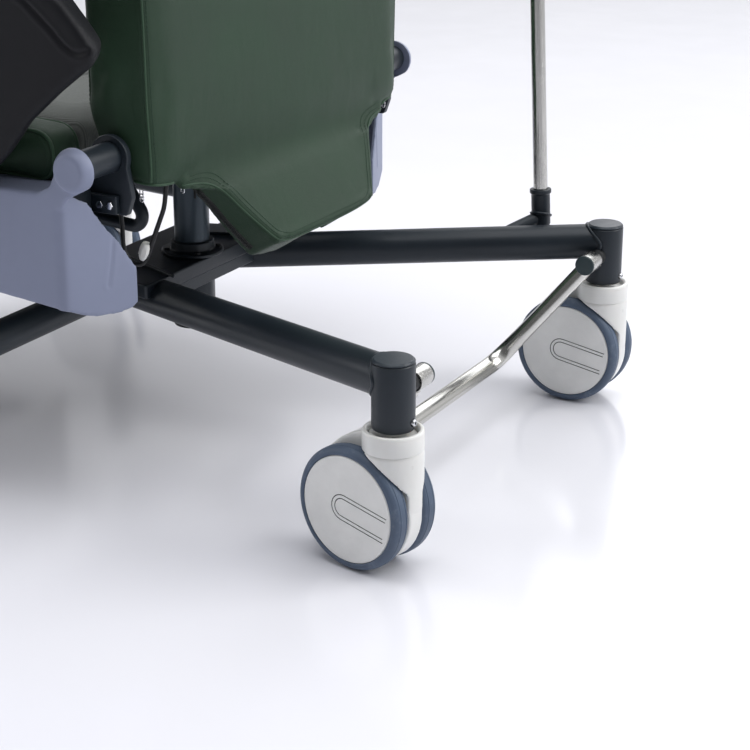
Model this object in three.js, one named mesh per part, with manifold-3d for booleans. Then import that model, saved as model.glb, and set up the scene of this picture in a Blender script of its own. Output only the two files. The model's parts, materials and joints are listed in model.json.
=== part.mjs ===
// Reclining treatment chair on a four-castor base, built as separate pieces.
// Millimetres. +Z is up, +X is the sitter's left, -Y is the front of the chair.
// The design frame has its origin on the floor midway between the two rear
// castor sockets; the finished chair is shifted so that the origin is on the
// floor under the middle of the whole object.
import * as THREE from 'three';
import { mergeVertices } from 'three/addons/utils/BufferGeometryUtils.js';
import Module from 'manifold-3d';

const wasm = await Module();
wasm.setup();
const { Manifold, Mesh: SolidMesh } = wasm;

// -------------------------------------------------------- shared dimensions
// A name ending in _AXIS is the [y, z] of an axis that runs along X.
const SHIFT_Y = 521.6;                 // design frame to finished frame
const REAR_X = 313.8, REAR_Y = 0;      // rear castor sockets
const FRONT_X = 395, FRONT_Y = -905;   // front castor sockets
const SOCKET_R = 25, SOCKET_Z0 = 174.8, SOCKET_Z1 = 253;
const STEM_R = 14;
const SET_SCREW_Z = 185;
const HUB = { halfX: 160, frontY: -572, rearY: -440, z0: 212, z1: 232 };
const COLUMN_Y = -475, COLUMN_OUT_R = 29, COLUMN_IN_R = 24;
const PEDAL_AXIS = [1, 215.5];
const POLE_X = -327, POLE_Y = -102, POLE_Z = 240;   // foot of the drip pole
const POLE_LEAN = 2.9;                              // degrees
const PIVOT_AXIS = [-369, 443], PIVOT_R = 18;       // backrest pivot
const LEGREST_AXIS = [-893, 398];
const POST_X = 368, POST_Y = -600, POST_R = 12;     // armrest posts

// Each corner: heading turns its castor, in degrees with 90 straight ahead;
// outward is the sign of Y that points away from the chair.
const CORNERS = [
  { key: 'rl', x: REAR_X, y: REAR_Y, outward: 1, heading: 78.3 },
  { key: 'rr', x: -REAR_X, y: REAR_Y, outward: 1, heading: 90.2 },
  { key: 'fl', x: FRONT_X, y: FRONT_Y, outward: -1, heading: 90 },
  { key: 'fr', x: -FRONT_X, y: FRONT_Y, outward: -1, heading: 90 },
];
const SIDES = [['left', 1], ['right', -1]];

// Linear actuators. Ends are [y, z]: seatEnd is hinged on the seat frame and
// farEnd drives the backrest or legrest. Lengths run along the line from seatEnd.
const BACK_ACTUATOR = {
  name: 'back_actuator', x: -75, seatEnd: [-720, 330], farEnd: [-344, 338],
  lugBottom: 320, tubeEnd: 215, rodStart: 161,
};
const LEG_ACTUATOR = {
  name: 'legrest_actuator', x: 75, seatEnd: [-600, 345], farEnd: [-873, 311],
  lugBottom: 334, tubeEnd: 165, rodStart: 110,
};
const LUG_IN = 9, LUG_OUT = 13;        // lug faces, from the actuator's middle
const LUG_R = 11;                      // rounded end of the driven lugs

// ------------------------------------------------------------------- looks
const PAINT = { color: 0x2b343d, roughness: 0.42, metalness: 0.35 };
const STEEL = { color: 0xb9b8b4, roughness: 0.22, metalness: 1 };
const VINYL = { color: 0x36503f, roughness: 0.55, metalness: 0 };
const SHELL = { color: 0x8491ad, roughness: 0.45, metalness: 0 };
const WHITE = { color: 0xe4e4e1, roughness: 0.4, metalness: 0 };
const TYRE = { color: 0x4d5a6c, roughness: 0.6, metalness: 0 };
const BLACK = { color: 0x1b1d20, roughness: 0.55, metalness: 0 };
const GREY = { color: 0x7d807e, roughness: 0.8, metalness: 0 };

// ------------------------------------------------------------ solid helpers
const vec = (x, y, z) => new THREE.Vector3(x, y, z);
const vectors2 = (points) => points.map(([u, v]) => new THREE.Vector2(u, v));
// Facets round a turned or tubular piece, from its nominal segment count.
const facets = (segments) => 2 * Math.round(segments * 0.36);
const join = (...solids) => solids.flat(Infinity).reduce((whole, solid) => whole.add(solid));
const cut = (solid, ...tools) => tools.flat(Infinity)
  .reduce((rest, tool) => rest.subtract(tool), solid);
const mirrored = (make) => [make(1), make(-1)];
// X range from x0 out to x1 on one side of the chair, in ascending order.
const span = (side, x0, x1) => (side > 0 ? [x0, x1] : [-x1, -x0]);

function toSolid(geometry) {
  geometry.deleteAttribute('normal');
  geometry.deleteAttribute('uv');
  const merged = mergeVertices(geometry, 1e-3);
  const index = merged.index.array;
  const triangles = [];
  for (let i = 0; i < index.length; i += 3) {
    const [a, b, c] = [index[i], index[i + 1], index[i + 2]];
    if (a !== b && b !== c && a !== c) triangles.push(a, b, c);
  }
  return new Manifold(new SolidMesh({
    numProp: 3,
    vertProperties: new Float32Array(merged.attributes.position.array),
    triVerts: new Uint32Array(triangles),
  }));
}

function toGeometry(solid) {
  const source = solid.getMesh();
  const positions = new Float32Array(source.numVert * 3);
  for (let i = 0; i < source.numVert; i++) {
    for (let k = 0; k < 3; k++) {
      positions[3 * i + k] = source.vertProperties[i * source.numProp + k];
    }
  }
  const geometry = new THREE.BufferGeometry();
  geometry.setAttribute('position', new THREE.BufferAttribute(positions, 3));
  geometry.setIndex(new THREE.BufferAttribute(new Uint32Array(source.triVerts), 1));
  geometry.computeVertexNormals();
  return geometry;
}

function addPiece(group, name, solid, look) {
  const mesh = new THREE.Mesh(toGeometry(solid), new THREE.MeshStandardMaterial(look));
  mesh.name = name;
  group.add(mesh);
  return mesh;
}

function box(x0, x1, y0, y1, z0, z1) {
  const geometry = new THREE.BoxGeometry(x1 - x0, y1 - y0, z1 - z0);
  geometry.translate((x0 + x1) / 2, (y0 + y1) / 2, (z0 + z1) / 2);
  return toSolid(geometry);
}
const sideBox = (side, x0, x1, ...rest) => box(...span(side, x0, x1), ...rest);

// Round bar between two points; radius may be a [start, end] pair for a taper.
function rod(start, end, radius, segments) {
  const a = vec(...start), b = vec(...end);
  const along = b.clone().sub(a);
  const [startR, endR] = Array.isArray(radius) ? radius : [radius, radius];
  const geometry = new THREE.CylinderGeometry(
    endR, startR, along.length(), facets(segments), 1);
  geometry.applyQuaternion(
    new THREE.Quaternion().setFromUnitVectors(vec(0, 1, 0), along.clone().normalize()));
  geometry.translate((a.x + b.x) / 2, (a.y + b.y) / 2, (a.z + b.z) / 2);
  return toSolid(geometry);
}
const rodX = (x0, x1, [y, z], radius, segments) => rod([x0, y, z], [x1, y, z], radius, segments);
const rodY = (y0, y1, [x, z], radius, segments) => rod([x, y0, z], [x, y1, z], radius, segments);
const post = (x, y, z0, z1, radius, segments) => rod([x, y, z0], [x, y, z1], radius, segments);

// Turned solid about the vertical through the origin; profile is [radius, z].
function turned(profile, segments) {
  const geometry = new THREE.LatheGeometry(vectors2(profile), facets(segments));
  geometry.rotateX(Math.PI / 2);
  return toSolid(geometry);
}

const extrude = (outline, depth) => new THREE.ExtrudeGeometry(
  new THREE.Shape(vectors2(outline)), { depth, bevelEnabled: false, steps: 1 });

// Plate with its outline in the Y-Z plane, from x0 to x1.
function plateYZ(outline, x0, x1) {
  const geometry = extrude(outline, x1 - x0);
  geometry.applyMatrix4(
    new THREE.Matrix4().makeBasis(vec(0, 1, 0), vec(0, 0, 1), vec(1, 0, 0)));
  geometry.translate(x0, 0, 0);
  return toSolid(geometry);
}
// Plate with its outline in the X-Y plane, from z0 to z1.
function plateXY(outline, z0, z1) {
  const geometry = extrude(outline, z1 - z0);
  geometry.translate(0, 0, z0);
  return toSolid(geometry);
}
// Geometry with its outline in the X-Z plane, reaching forwards from rearY.
function extrudeXZ(outline, depth, rearY) {
  const geometry = extrude(outline, depth);
  geometry.applyMatrix4(new THREE.Matrix4()
    .makeBasis(vec(1, 0, 0), vec(0, 0, 1), vec(0, -1, 0))
    .setPosition(0, rearY, 0));
  return geometry;
}

// Points on an arc about [u, v]; angles in degrees.
const arc = ([u, v], radius, from, to, steps) => Array.from({ length: steps + 1 }, (_, i) => {
  const angle = THREE.MathUtils.degToRad(from + ((to - from) * i) / steps);
  return [u + radius * Math.cos(angle), v + radius * Math.sin(angle)];
});

// Outline with rounded corners; each point is [u, v, radius], sharp without a radius.
function rounded(points, steps) {
  const outline = [], count = points.length;
  for (let i = 0; i < count; i++) {
    const [u, v, radius = 0] = points[i];
    if (!radius) {
      outline.push([u, v]);
      continue;
    }
    const before = points[(i + count - 1) % count], after = points[(i + 1) % count];
    const corner = vec(u, v, 0);
    const prev = vec(before[0], before[1], 0), next = vec(after[0], after[1], 0);
    const toPrev = prev.clone().sub(corner).normalize();
    const toNext = next.clone().sub(corner).normalize();
    const half = Math.acos(THREE.MathUtils.clamp(toPrev.dot(toNext), -1, 1)) / 2;
    // the arc may take up no more than about half of either edge
    const setback = Math.min(radius / Math.tan(half),
      0.49 * prev.distanceTo(corner), 0.49 * next.distanceTo(corner));
    const fitted = setback * Math.tan(half);
    const centre = corner.clone().add(
      toPrev.clone().add(toNext).normalize().multiplyScalar(fitted / Math.sin(half)));
    const first = corner.clone().add(toPrev.clone().multiplyScalar(setback)).sub(centre);
    const last = corner.clone().add(toNext.clone().multiplyScalar(setback)).sub(centre);
    const start = Math.atan2(first.y, first.x);
    let sweep = Math.atan2(last.y, last.x) - start;
    while (sweep > Math.PI) sweep -= 2 * Math.PI;
    while (sweep < -Math.PI) sweep += 2 * Math.PI;
    for (let k = 0; k <= steps; k++) {
      const angle = start + (sweep * k) / steps;
      outline.push([centre.x + fitted * Math.cos(angle), centre.y + fitted * Math.sin(angle)]);
    }
  }
  return outline;
}

// Centre line of a bent tube: straight runs joined by arcs, as stations.
// bends is one bend radius, or a list with one for each inner point.
class BentPath extends THREE.Curve {
  constructor(points, bends, steps) {
    super();
    const corners = points.map((point) => vec(...point));
    const runs = corners.slice(1).map((corner, i) => corner.clone().sub(corners[i]).normalize());
    this.stations = [{ point: corners[0], tangent: runs[0] }];
    for (let i = 1; i < corners.length - 1; i++) {
      const from = runs[i - 1], to = runs[i];
      const turn = Math.acos(THREE.MathUtils.clamp(from.dot(to), -1, 1));
      const radius = Array.isArray(bends) ? bends[i - 1] : bends;
      const inward = to.clone().sub(from.clone().multiplyScalar(from.dot(to))).normalize();
      const centre = corners[i].clone()
        .sub(from.clone().multiplyScalar(radius * Math.tan(turn / 2)))
        .add(inward.clone().multiplyScalar(radius));
      for (let k = 0; k <= steps; k++) {
        const angle = (turn * k) / steps;
        const sin = Math.sin(angle), cos = Math.cos(angle);
        this.stations.push({
          point: centre.clone()
            .add(from.clone().multiplyScalar(radius * sin))
            .sub(inward.clone().multiplyScalar(radius * cos)),
          tangent: from.clone().multiplyScalar(cos).add(inward.clone().multiplyScalar(sin)),
        });
      }
    }
    this.stations.push({ point: corners.at(-1), tangent: runs.at(-1) });
  }
  station(u) { return this.stations[Math.round(u * (this.stations.length - 1))]; }
  getPointAt(u) { return this.station(u).point.clone(); }
  getTangentAt(u) { return this.station(u).tangent.clone(); }
}

function bentTube(points, bends, radius, segments, steps) {
  const sides = facets(segments);
  const path = new BentPath(points, bends, steps);
  const ring = Array.from({ length: sides }, (_, i) => {
    const angle = (2 * Math.PI * i) / sides;
    return [radius * Math.cos(angle), radius * Math.sin(angle)];
  });
  return toSolid(new THREE.ExtrudeGeometry(new THREE.Shape(vectors2(ring)), {
    extrudePath: path, steps: path.stations.length - 1, bevelEnabled: false,
  }));
}

// The two lugs either side of an actuator; make(x0, x1) builds one.
const lugPair = (x, make) => [make(x - LUG_OUT, x - LUG_IN), make(x + LUG_IN, x + LUG_OUT)];

// Pieces of the drip pole are built upright, then leaned about its foot,
// top towards the front.
const lean = (solid) => solid.translate([-POLE_X, -POLE_Y, -POLE_Z])
  .rotate([POLE_LEAN, 0, 0])
  .translate([POLE_X, POLE_Y, POLE_Z]);
const polePost = (z0, z1, radius, segments) => post(POLE_X, POLE_Y, z0, z1, radius, segments);

// ------------------------------------------------------------------- groups
const chair = new THREE.Group();
chair.position.set(0, SHIFT_Y, 0);
const base = new THREE.Group(), seatLift = new THREE.Group(), backrest = new THREE.Group();
const legrest = new THREE.Group(), pedal = new THREE.Group(), pole = new THREE.Group();
chair.add(base, seatLift, backrest, legrest, pedal, pole);

// --------------------------------------------------------------------- base
const LEG_R = 24.15, LEG_Z = 232.1;
const LEG_DX = 0.426, LEG_DZ = 0.0598;          // leg slopes in X and Z per mm of Y
const CROSS_R = 21.2, CROSS_Y = -555, CROSS_Z = 191, CROSS_BEND = 60;
const CROSS_END_Z = 207;                        // front tube at the front sockets
const CAP_R = 24.6, CAP_Z0 = SOCKET_Z1 + 0.3, CAP_Z1 = 257.8;
const STEM_PROFILE = [                          // [radius, z]
  [0, 141], [9.6, 141], [9.6, 175.2], [STEM_R, 175.2], [STEM_R, 247], [12, 249.5], [0, 249.5],
];
const COLUMN_OUTER_PROFILE = [                  // [radius, z], with a flange above the hub
  [0, 130], [COLUMN_OUT_R, 130], [COLUMN_OUT_R, HUB.z1 + 0.3], [42, HUB.z1 + 0.3],
  [42, 237.5], [COLUMN_OUT_R, 238.5], [COLUMN_OUT_R, 249], [COLUMN_OUT_R - 1, 250],
  [COLUMN_IN_R + 0.5, 250], [COLUMN_IN_R + 0.5, 134], [0, 134],
];

// Welded base: sockets, rear legs, bent front tube, hub, pedal shafts, pole socket.
function baseFrame() {
  const sockets = CORNERS.map(({ x, y }) => post(x, y, SOCKET_Z0, SOCKET_Z1, SOCKET_R, 28));
  const legs = mirrored((side) => rod(
    [side * REAR_X, REAR_Y, LEG_Z],
    [side * (REAR_X + LEG_DX * CROSS_Y), CROSS_Y, LEG_Z + LEG_DZ * CROSS_Y], LEG_R, 24));
  const frontTube = bentTube([
    [FRONT_X, FRONT_Y, CROSS_END_Z], [FRONT_X, CROSS_Y, CROSS_Z],
    [-FRONT_X, CROSS_Y, CROSS_Z], [-FRONT_X, FRONT_Y, CROSS_END_Z],
  ], CROSS_BEND, CROSS_R, 22, 4);
  const hub = plateXY(rounded([
    [-HUB.halfX, HUB.rearY], [-HUB.halfX + 40, HUB.frontY, 8],
    [HUB.halfX - 40, HUB.frontY, 8], [HUB.halfX, HUB.rearY],
  ], 2), HUB.z0, HUB.z1);
  const pedalShafts = mirrored((side) => [
    rodX(side * 287, side * 250, PEDAL_AXIS, 7, 16),
    rodX(side * 290.5, side * 271.5, PEDAL_AXIS, 10.5, 18),
  ]);
  const poleSocket = [
    rod([-262, -152, 222], [POLE_X, POLE_Y, POLE_Z + 11], 9, 14),
    lean(polePost(POLE_Z - 2, POLE_Z + 48, 13.2, 20)),
    lean(polePost(POLE_Z + 44, POLE_Z + 51, 15.2, 20)),
  ];
  // stem bore, set-screw hole, and room for the cap above each socket
  const socketCuts = CORNERS.map(({ x, y, outward }) => [
    post(x, y, SOCKET_Z0 - 5, SOCKET_Z1 + 5, STEM_R + 0.3, 20),
    rodY(y + outward * 8, y + outward * 34, [x, SET_SCREW_Z], 4.7, 14),
    post(x, y, SOCKET_Z1, SOCKET_Z1 + 9, SOCKET_R, 28),
  ]);
  return cut(join(sockets, legs, frontTube, hub, pedalShafts, poleSocket),
    socketCuts,
    post(0, COLUMN_Y, 150, 260, COLUMN_OUT_R + 0.4, 28),
    lean(polePost(POLE_Z + 6, POLE_Z + 80, 10.4, 20)));
}

function addSocketFittings({ key, x, y, outward }) {
  const cap = turned(
    [[0, CAP_Z0], [CAP_R, CAP_Z0], [CAP_R, CAP_Z1 - 2.2], [22.4, CAP_Z1], [0, CAP_Z1]], 28);
  addPiece(base, `socket_cap_${key}`, cap.translate([x, y, 0]), PAINT);
  addPiece(base, `castor_stem_${key}`, turned(STEM_PROFILE, 20).translate([x, y, 0]), STEEL);
  const screw = cut(
    rodY(y + outward * 15, y + outward * 27, [x, SET_SCREW_Z], 4.4, 14),
    rodY(y + outward * 23.5, y + outward * 29, [x, SET_SCREW_Z], 2.2, 6));
  addPiece(base, `set_screw_${key}`, screw, STEEL);
}

addPiece(base, 'base_frame', baseFrame(), PAINT);
CORNERS.forEach(addSocketFittings);
addPiece(base, 'lift_column_outer',
  turned(COLUMN_OUTER_PROFILE, 28).translate([0, COLUMN_Y, 0]), PAINT);

// ---------------------------------------------------------------- drip pole
const POLE_LOWER_TOP = 1150;
const CLAMP_SCREW_Z = 1158;
const HOOK_Z = 1462;
const HOOK_HUB_PROFILE = [                      // [radius, z]
  [0, 1448], [11, 1448], [12.5, 1452], [12.5, 1468], [8, 1476], [0, 1476],
];

function poleClamp() {
  const screwAt = [POLE_X, CLAMP_SCREW_Z];
  return cut(
    join(polePost(1122, 1168, 14.5, 20), rodY(POLE_Y, POLE_Y + 23, screwAt, 7.5, 14)),
    polePost(1100, POLE_LOWER_TOP + 0.4, 10.3, 18),
    polePost(1140, 1180, 8, 16),
    rodY(POLE_Y + 4, POLE_Y + 30, screwAt, 3.6, 12));
}

function clampKnob() {
  const screwAt = [POLE_X, CLAMP_SCREW_Z];
  return join(
    rodY(POLE_Y + 11, POLE_Y + 30, screwAt, 3.2, 12),
    rodY(POLE_Y + 23.4, POLE_Y + 38, screwAt, [12, 14.5], 12));
}

// Four hooks; elbow and tip are reaches from the pole's centre line.
function hookHead() {
  const hook = (dirX, dirY, elbow, tip, tipZ) => bentTube(
    [[4, HOOK_Z], [elbow, HOOK_Z], [tip, tipZ]]
      .map(([reach, z]) => [POLE_X + dirX * reach, POLE_Y + dirY * reach, z]),
    12, 3.2, 10, 3);
  return cut(join(
    turned(HOOK_HUB_PROFILE, 16).translate([POLE_X, POLE_Y, 0]),
    mirrored((sign) => hook(0, sign, 78, 92, 1496)),
    mirrored((sign) => hook(sign, 0, 68, 80, 1494)),
  ), polePost(1440, 1452.4, 7.8, 16));
}

const lowerTube = cut(
  polePost(POLE_Z + 6.5, POLE_LOWER_TOP, 10, 18), polePost(POLE_Z + 12, 1200, 8.2, 16));
addPiece(pole, 'pole_tube_lower', lean(lowerTube), STEEL);
addPiece(pole, 'pole_clamp', lean(poleClamp()), BLACK);
addPiece(pole, 'pole_clamp_knob', lean(clampKnob()), BLACK);
addPiece(pole, 'pole_tube_upper', lean(polePost(420, 1452, 7.4, 16)), STEEL);
addPiece(pole, 'pole_hook_head', lean(hookHead()), STEEL);

// ------------------------------------------------------------------ castors
const WHEEL_R = 75, WHEEL_IN = 12.75, WHEEL_W = 24.5;
const AXLE_AXIS = [-38.5, WHEEL_R];             // [y, z] in the castor's own frame
const WHEEL_FACETS = 20;
// The tread polygon has a flat on the floor; its flats are WHEEL_R from the axle.
const FLAT_TO_CORNER = 1 / Math.cos(Math.PI / WHEEL_FACETS);
const WHEEL_PROFILE = [                         // [radius, distance from the inner face]
  [0, 18.6], [5.5, 18.6], [5.5, 0], [68 * FLAT_TO_CORNER, 0], [WHEEL_R * FLAT_TO_CORNER, 7],
  [WHEEL_R * FLAT_TO_CORNER, 17.5], [70 * FLAT_TO_CORNER, WHEEL_W], [0, WHEEL_W],
];

// Round head over a web between the wheels, with the axle.
function castorHousing() {
  const [axleY, axleZ] = AXLE_AXIS;
  const web = [
    ...arc(AXLE_AXIS, 73, -48, 140, 8),
    [axleY - 22, axleZ + 4], [axleY - 10, axleZ - 17], [axleY + 10, axleZ - 22],
  ];
  const head = turned([[0, 78], [35.5, 78], [35.5, 171], [33, 174.3], [0, 174.3]], 28);
  const housing = cut(join(head, plateYZ(web, -12, 12)),
    mirrored((side) => rodX(side * 12.4, side * 60, AXLE_AXIS, 77, 32)),
    post(0, 0, 138, 180, 10.1, 18));
  return join(housing, rodX(-30, 30, AXLE_AXIS, 5, 14));
}

function wheelSolid(side) {
  const geometry = new THREE.LatheGeometry(
    vectors2(WHEEL_PROFILE), WHEEL_FACETS, Math.PI / WHEEL_FACETS);
  return toSolid(geometry).rotate([0, 0, -90 * side]).translate([side * WHEEL_IN, 0, 0]);
}

function addCastor({ key, x, y, heading }) {
  const castor = new THREE.Group();
  castor.position.set(x, y, 0);
  castor.rotation.z = THREE.MathUtils.degToRad(heading - 90);
  addPiece(castor, `castor_housing_${key}`, castorHousing(), WHITE);
  for (const [letter, side] of [['a', 1], ['b', -1]]) {
    const wheel = addPiece(castor, `castor_wheel_${key}_${letter}`, wheelSolid(side), TYRE);
    wheel.position.set(0, ...AXLE_AXIS);
  }
  chair.add(castor);
}
CORNERS.forEach(addCastor);

// ------------------------------------------------------- central-lock pedal
// A bent bar on two hollow stubs that turn on the base's shafts.
function pedalBar() {
  const [y, z] = PEDAL_AXIS;
  const bar = bentTube([
    [259, y, z - 2], [180, -100, 80], [-180, -100, 80], [-259, y, z - 2],
  ], 38, 10.8, 18, 4);
  const stubs = mirrored((side) => rodX(side * 241.9, side * 271.1, PEDAL_AXIS, 13.5, 22));
  const bores = mirrored((side) => rodX(side * 249, side * 280, PEDAL_AXIS, 7.5, 16));
  return cut(join(bar, stubs), bores);
}
addPiece(pedal, 'pedal_bar', pedalBar(), STEEL);
for (const [label, side] of SIDES) {
  const cap = rodX(side * 241.6, side * 238.4, PEDAL_AXIS, [13.6, 13], 22);
  addPiece(pedal, `pedal_cap_${label}`, cap, PAINT);
}

// ------------------------------------------------------------- lifting seat
const SEAT_X = 344.5, SEAT_REAR_Y = -416, SEAT_FRONT_Y = -885, SEAT_Z0 = 412, SEAT_Z1 = 480;
const RAIL_Z0 = 374, RAIL_Z1 = 403;
const COLUMN_TOP = 360;
// Boxes of the seat frame: [x0, x1, y0, y1, z0, z1].
const SEAT_BOXES = [
  [-332, 332, -873, -470, 402, 411.5],                      // top plate
  [-50, 50, -580, -418, COLUMN_TOP + 0.3, 368.3],           // plate on the column
  [28, 48, -802, -424, 368, RAIL_Z1],                       // middle rails
  [-48, -28, -802, -424, 368, RAIL_Z1],
  [-330, 330, -802, -774, 372, RAIL_Z1],                    // front cross bar
  [-330, 330, -500, -476, 380, RAIL_Z1],                    // rear cross bar
];
// The same columns, for boxes on both sides; x is measured outwards.
const SEAT_SIDE_BOXES = [
  [302, 330, -873, -398, RAIL_Z0, RAIL_Z1],                 // side rail
  [329, 362, -426, -390, 380, 405.6],                       // side cover bracket
  [193, 207, -560, -440, 399, 411],                         // blocks above the lower rail
  [193, 207, -500, -440, 395, 409],
  [328, 360, POST_Y - 10, POST_Y + 10, 376, 396],           // arm to the post sleeve
];

function seatFrameSide(side) {
  const x = side * 200;                                     // lower rail and its braces
  return [
    SEAT_SIDE_BOXES.map((row) => sideBox(side, ...row)),
    // hinge plate that carries the back pivot
    plateYZ([
      [-450, RAIL_Z0], [-346, RAIL_Z0], [-338, 396], ...arc(PIVOT_AXIS, 26, -25, 205, 9),
      [-412, 404], [-450, 404],
    ], ...span(side, 312, 321)),
    rod([x, -745, 346], [x, -400, 322], 8, 12),
    rod([x, -402, 323], [x, -452, 406], 8, 12),
    rod([x, -740, 346], [x, -740, 405], 8, 12),
    // sleeve for the armrest post
    post(side * POST_X, POST_Y, 306, 398, 16, 20),
    // legrest hinge lug and pin
    plateYZ([[-860, RAIL_Z0], [-860, RAIL_Z1], ...arc(LEGREST_AXIS, 12.5, 60, 250, 8)],
      ...span(side, 302, 311)),
    rodX(side * 304, side * 281, LEGREST_AXIS, 6, 14),
  ];
}

// Lugs and pin that hold an actuator under the seat.
function clevis({ x, seatEnd, lugBottom }) {
  const y = seatEnd[0];
  return [
    lugPair(x, (x0, x1) => box(x0, x1, y - 14, y + 14, lugBottom, RAIL_Z1)),
    rodX(x - LUG_OUT, x + LUG_OUT, seatEnd, 4, 12),
  ];
}

function seatFrame() {
  return cut(
    join(SEAT_BOXES.map((row) => box(...row)), clevis(BACK_ACTUATOR), clevis(LEG_ACTUATOR),
      mirrored(seatFrameSide)),
    mirrored((side) => [
      rodX(side * 305, side * 325, PIVOT_AXIS, PIVOT_R + 0.6, 28),
      post(side * POST_X, POST_Y, 290, 420, POST_R + 0.5, 20),
    ]));
}

const innerColumn = cut(
  post(0, COLUMN_Y, 137, COLUMN_TOP, COLUMN_IN_R, 28), post(0, COLUMN_Y, 130, 350, 20.5, 24));
addPiece(seatLift, 'lift_column_inner', innerColumn, SHELL);
addPiece(seatLift, 'seat_frame', seatFrame(), PAINT);
addPiece(seatLift, 'seat_cushion', plateYZ(rounded([
  [SEAT_REAR_Y, SEAT_Z0, 8], [SEAT_REAR_Y, SEAT_Z1, 14],
  [SEAT_FRONT_Y, SEAT_Z1, 28], [SEAT_FRONT_Y, SEAT_Z0, 12],
], 4), -SEAT_X, SEAT_X), GREY);

// -------------------------------------------------------------- side covers
const COVER_IN = 333, COVER_OUT = 390;
const BOSS_AXIS = [PIVOT_AXIS[0], PIVOT_AXIS[1] - 2];
// Outlines in Y-Z: [y, z, corner radius].
const COVER_OUTLINE = [
  [-872, 300, 20], [-872, 408, 16], [-470, 410], [-422, 410.5, 3], [-370, 410],
  [-370, 262], [-388, 270, 6], [-486, 279], [-700, 290],
];
const COVER_POCKET = [
  [-868, 304, 16], [-868, 404, 12], [-470, 406], [-360, 406], [-340, 380],
  [-340, 262], [-388, 274.5], [-486, 283], [-700, 294],
];
const COVER_BOSS = [
  [-430, 396], [-422, 410.5, 3], [-403, 420], ...arc(BOSS_AXIS, 26, 190, -50, 12),
  [-370, 412, 8], [-384, 404, 3], [-388, 396],
];
// Plans from above: [x outwards, y].
const COVER_PLAN = [
  [320, -880], [390, -880], [390, -398], [389.3, -393], [387.4, -389], [384, -386], [320, -364],
];
const REAR_WALL_PLAN = [
  [387.4, -389], [384, -386], [293.3, -354.6], [293.3, -359], [386.5, -391.2], [389, -394],
];
const REAR_WALL_ELEVATION = [                   // [x outwards, z]
  [392, 408], [374, 407.5], [364, 400], [355, 395], [347, 382], [332, 361], [316, 341],
  [306, 323], [294.5, 305], [293.2, 283], [294.5, 264], [303, 257], [323, 255], [346, 256],
  [361, 260], [374, 266], [392, 272],
];
const DOME_PROFILE = [                          // [radius, distance out from the cover]
  [0, -3], [25.5, -3], [25.5, 0], [24, 4], [20.5, 8.5], [16.8, 10.5], [0, 10.2],
];

function pivotDome(side) {
  const dome = new THREE.LatheGeometry(vectors2(DOME_PROFILE), 24);
  dome.rotateZ(-side * Math.PI / 2);
  dome.translate(side * COVER_OUT, ...BOSS_AXIS);
  return toSolid(dome);
}

// Outer wall with a round boss over the pivot; the rear wall wraps inwards
// behind the seat frame.
function sideCover(side) {
  const onSide = (points) => points.map(([x, other]) => [side * x, other]);
  const block = plateYZ(rounded(COVER_OUTLINE, 3), ...span(side, COVER_IN, COVER_OUT))
    .intersect(plateXY(onSide(COVER_PLAN), 240, 420));
  const shell = cut(block,
    plateYZ(rounded(COVER_POCKET, 2), ...span(side, COVER_IN - 5, COVER_OUT - 4)));
  const rearWall = plateXY(onSide(REAR_WALL_PLAN), 250, 412)
    .intersect(toSolid(extrudeXZ(onSide(REAR_WALL_ELEVATION), 80, -340)));
  const boss = plateYZ(rounded(COVER_BOSS, 3), ...span(side, COVER_OUT - 5.5, COVER_OUT));
  return cut(join(shell, rearWall, boss, pivotDome(side)),
    post(side * POST_X, POST_Y, 395, 430, POST_R + 2.5, 18));
}
for (const [label, side] of SIDES) {
  addPiece(seatLift, `side_cover_${label}`, sideCover(side), SHELL);
}

// -------------------------------------------------------------- control box
addPiece(seatLift, 'control_box', join(
  box(-272, -138, -700, -580, 352, 401.6),
  rodY(-580, -566, [-205, 372], 7, 12)), BLACK);
addPiece(seatLift, 'control_cable', bentTube([
  [292, -404, 384], [262, -398, 342], [262, -398, 312],
  [262, -375, 283], [262, -352, 330], [262, -332, 380],
], [14, 20, 13, 30], 3.6, 10, 4), BLACK);

// ----------------------------------------------------------------- backrest
const BACK_X = 307, BACK_REAR_Y = -321, BACK_Z0 = 409, BACK_Z1 = 1240;
const PANEL_FRONT_Y = -361, PANEL_REAR_Y = -350;
const CUSHION_Y = PANEL_FRONT_Y - 0.4, REAR_PAD_Y = PANEL_REAR_Y + 0.4;
const HANDLE_X = 190, HANDLE_Z = 1150, HANDLE_Y = -262, MOUNT_END_Y = -316;
// Side outlines: [y, z, corner radius].
const BACK_CUSHION = [
  [CUSHION_Y, 472], [CUSHION_Y, BACK_Z1], [-404, BACK_Z1, 22], [-412, 1100], [-411, 640],
  [-395, 476, 10],
];
const BACK_REAR_PAD = [
  [REAR_PAD_Y, BACK_Z0], [BACK_REAR_Y, BACK_Z0, 10], [BACK_REAR_Y, BACK_Z1, 16],
  [REAR_PAD_Y, BACK_Z1],
];
const HEAD_PILLOW = [
  [-412.5, 1085, 12], [-412.5, 1225, 12], [-448, 1236, 20], [-462, 1165, 40], [-448, 1078, 20],
];
const SKIRT_TOP = BACK_Z0 - 0.4;
const SKIRT_WALL = [                            // [x, z]
  [-205, SKIRT_TOP], [205, SKIRT_TOP], [200, 392], [126, 312], [112, 304], [60, 300.5],
  [0, 299.5], [-60, 300.5], [-112, 304], [-126, 312], [-200, 392],
];
const SKIRT_GUSSET = [                          // [x outwards, z]
  [205, SKIRT_TOP], [200, 392], [126, 312], [114, 305], [104, 312], [114, 320], [188, 398],
  [192, SKIRT_TOP],
];

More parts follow.
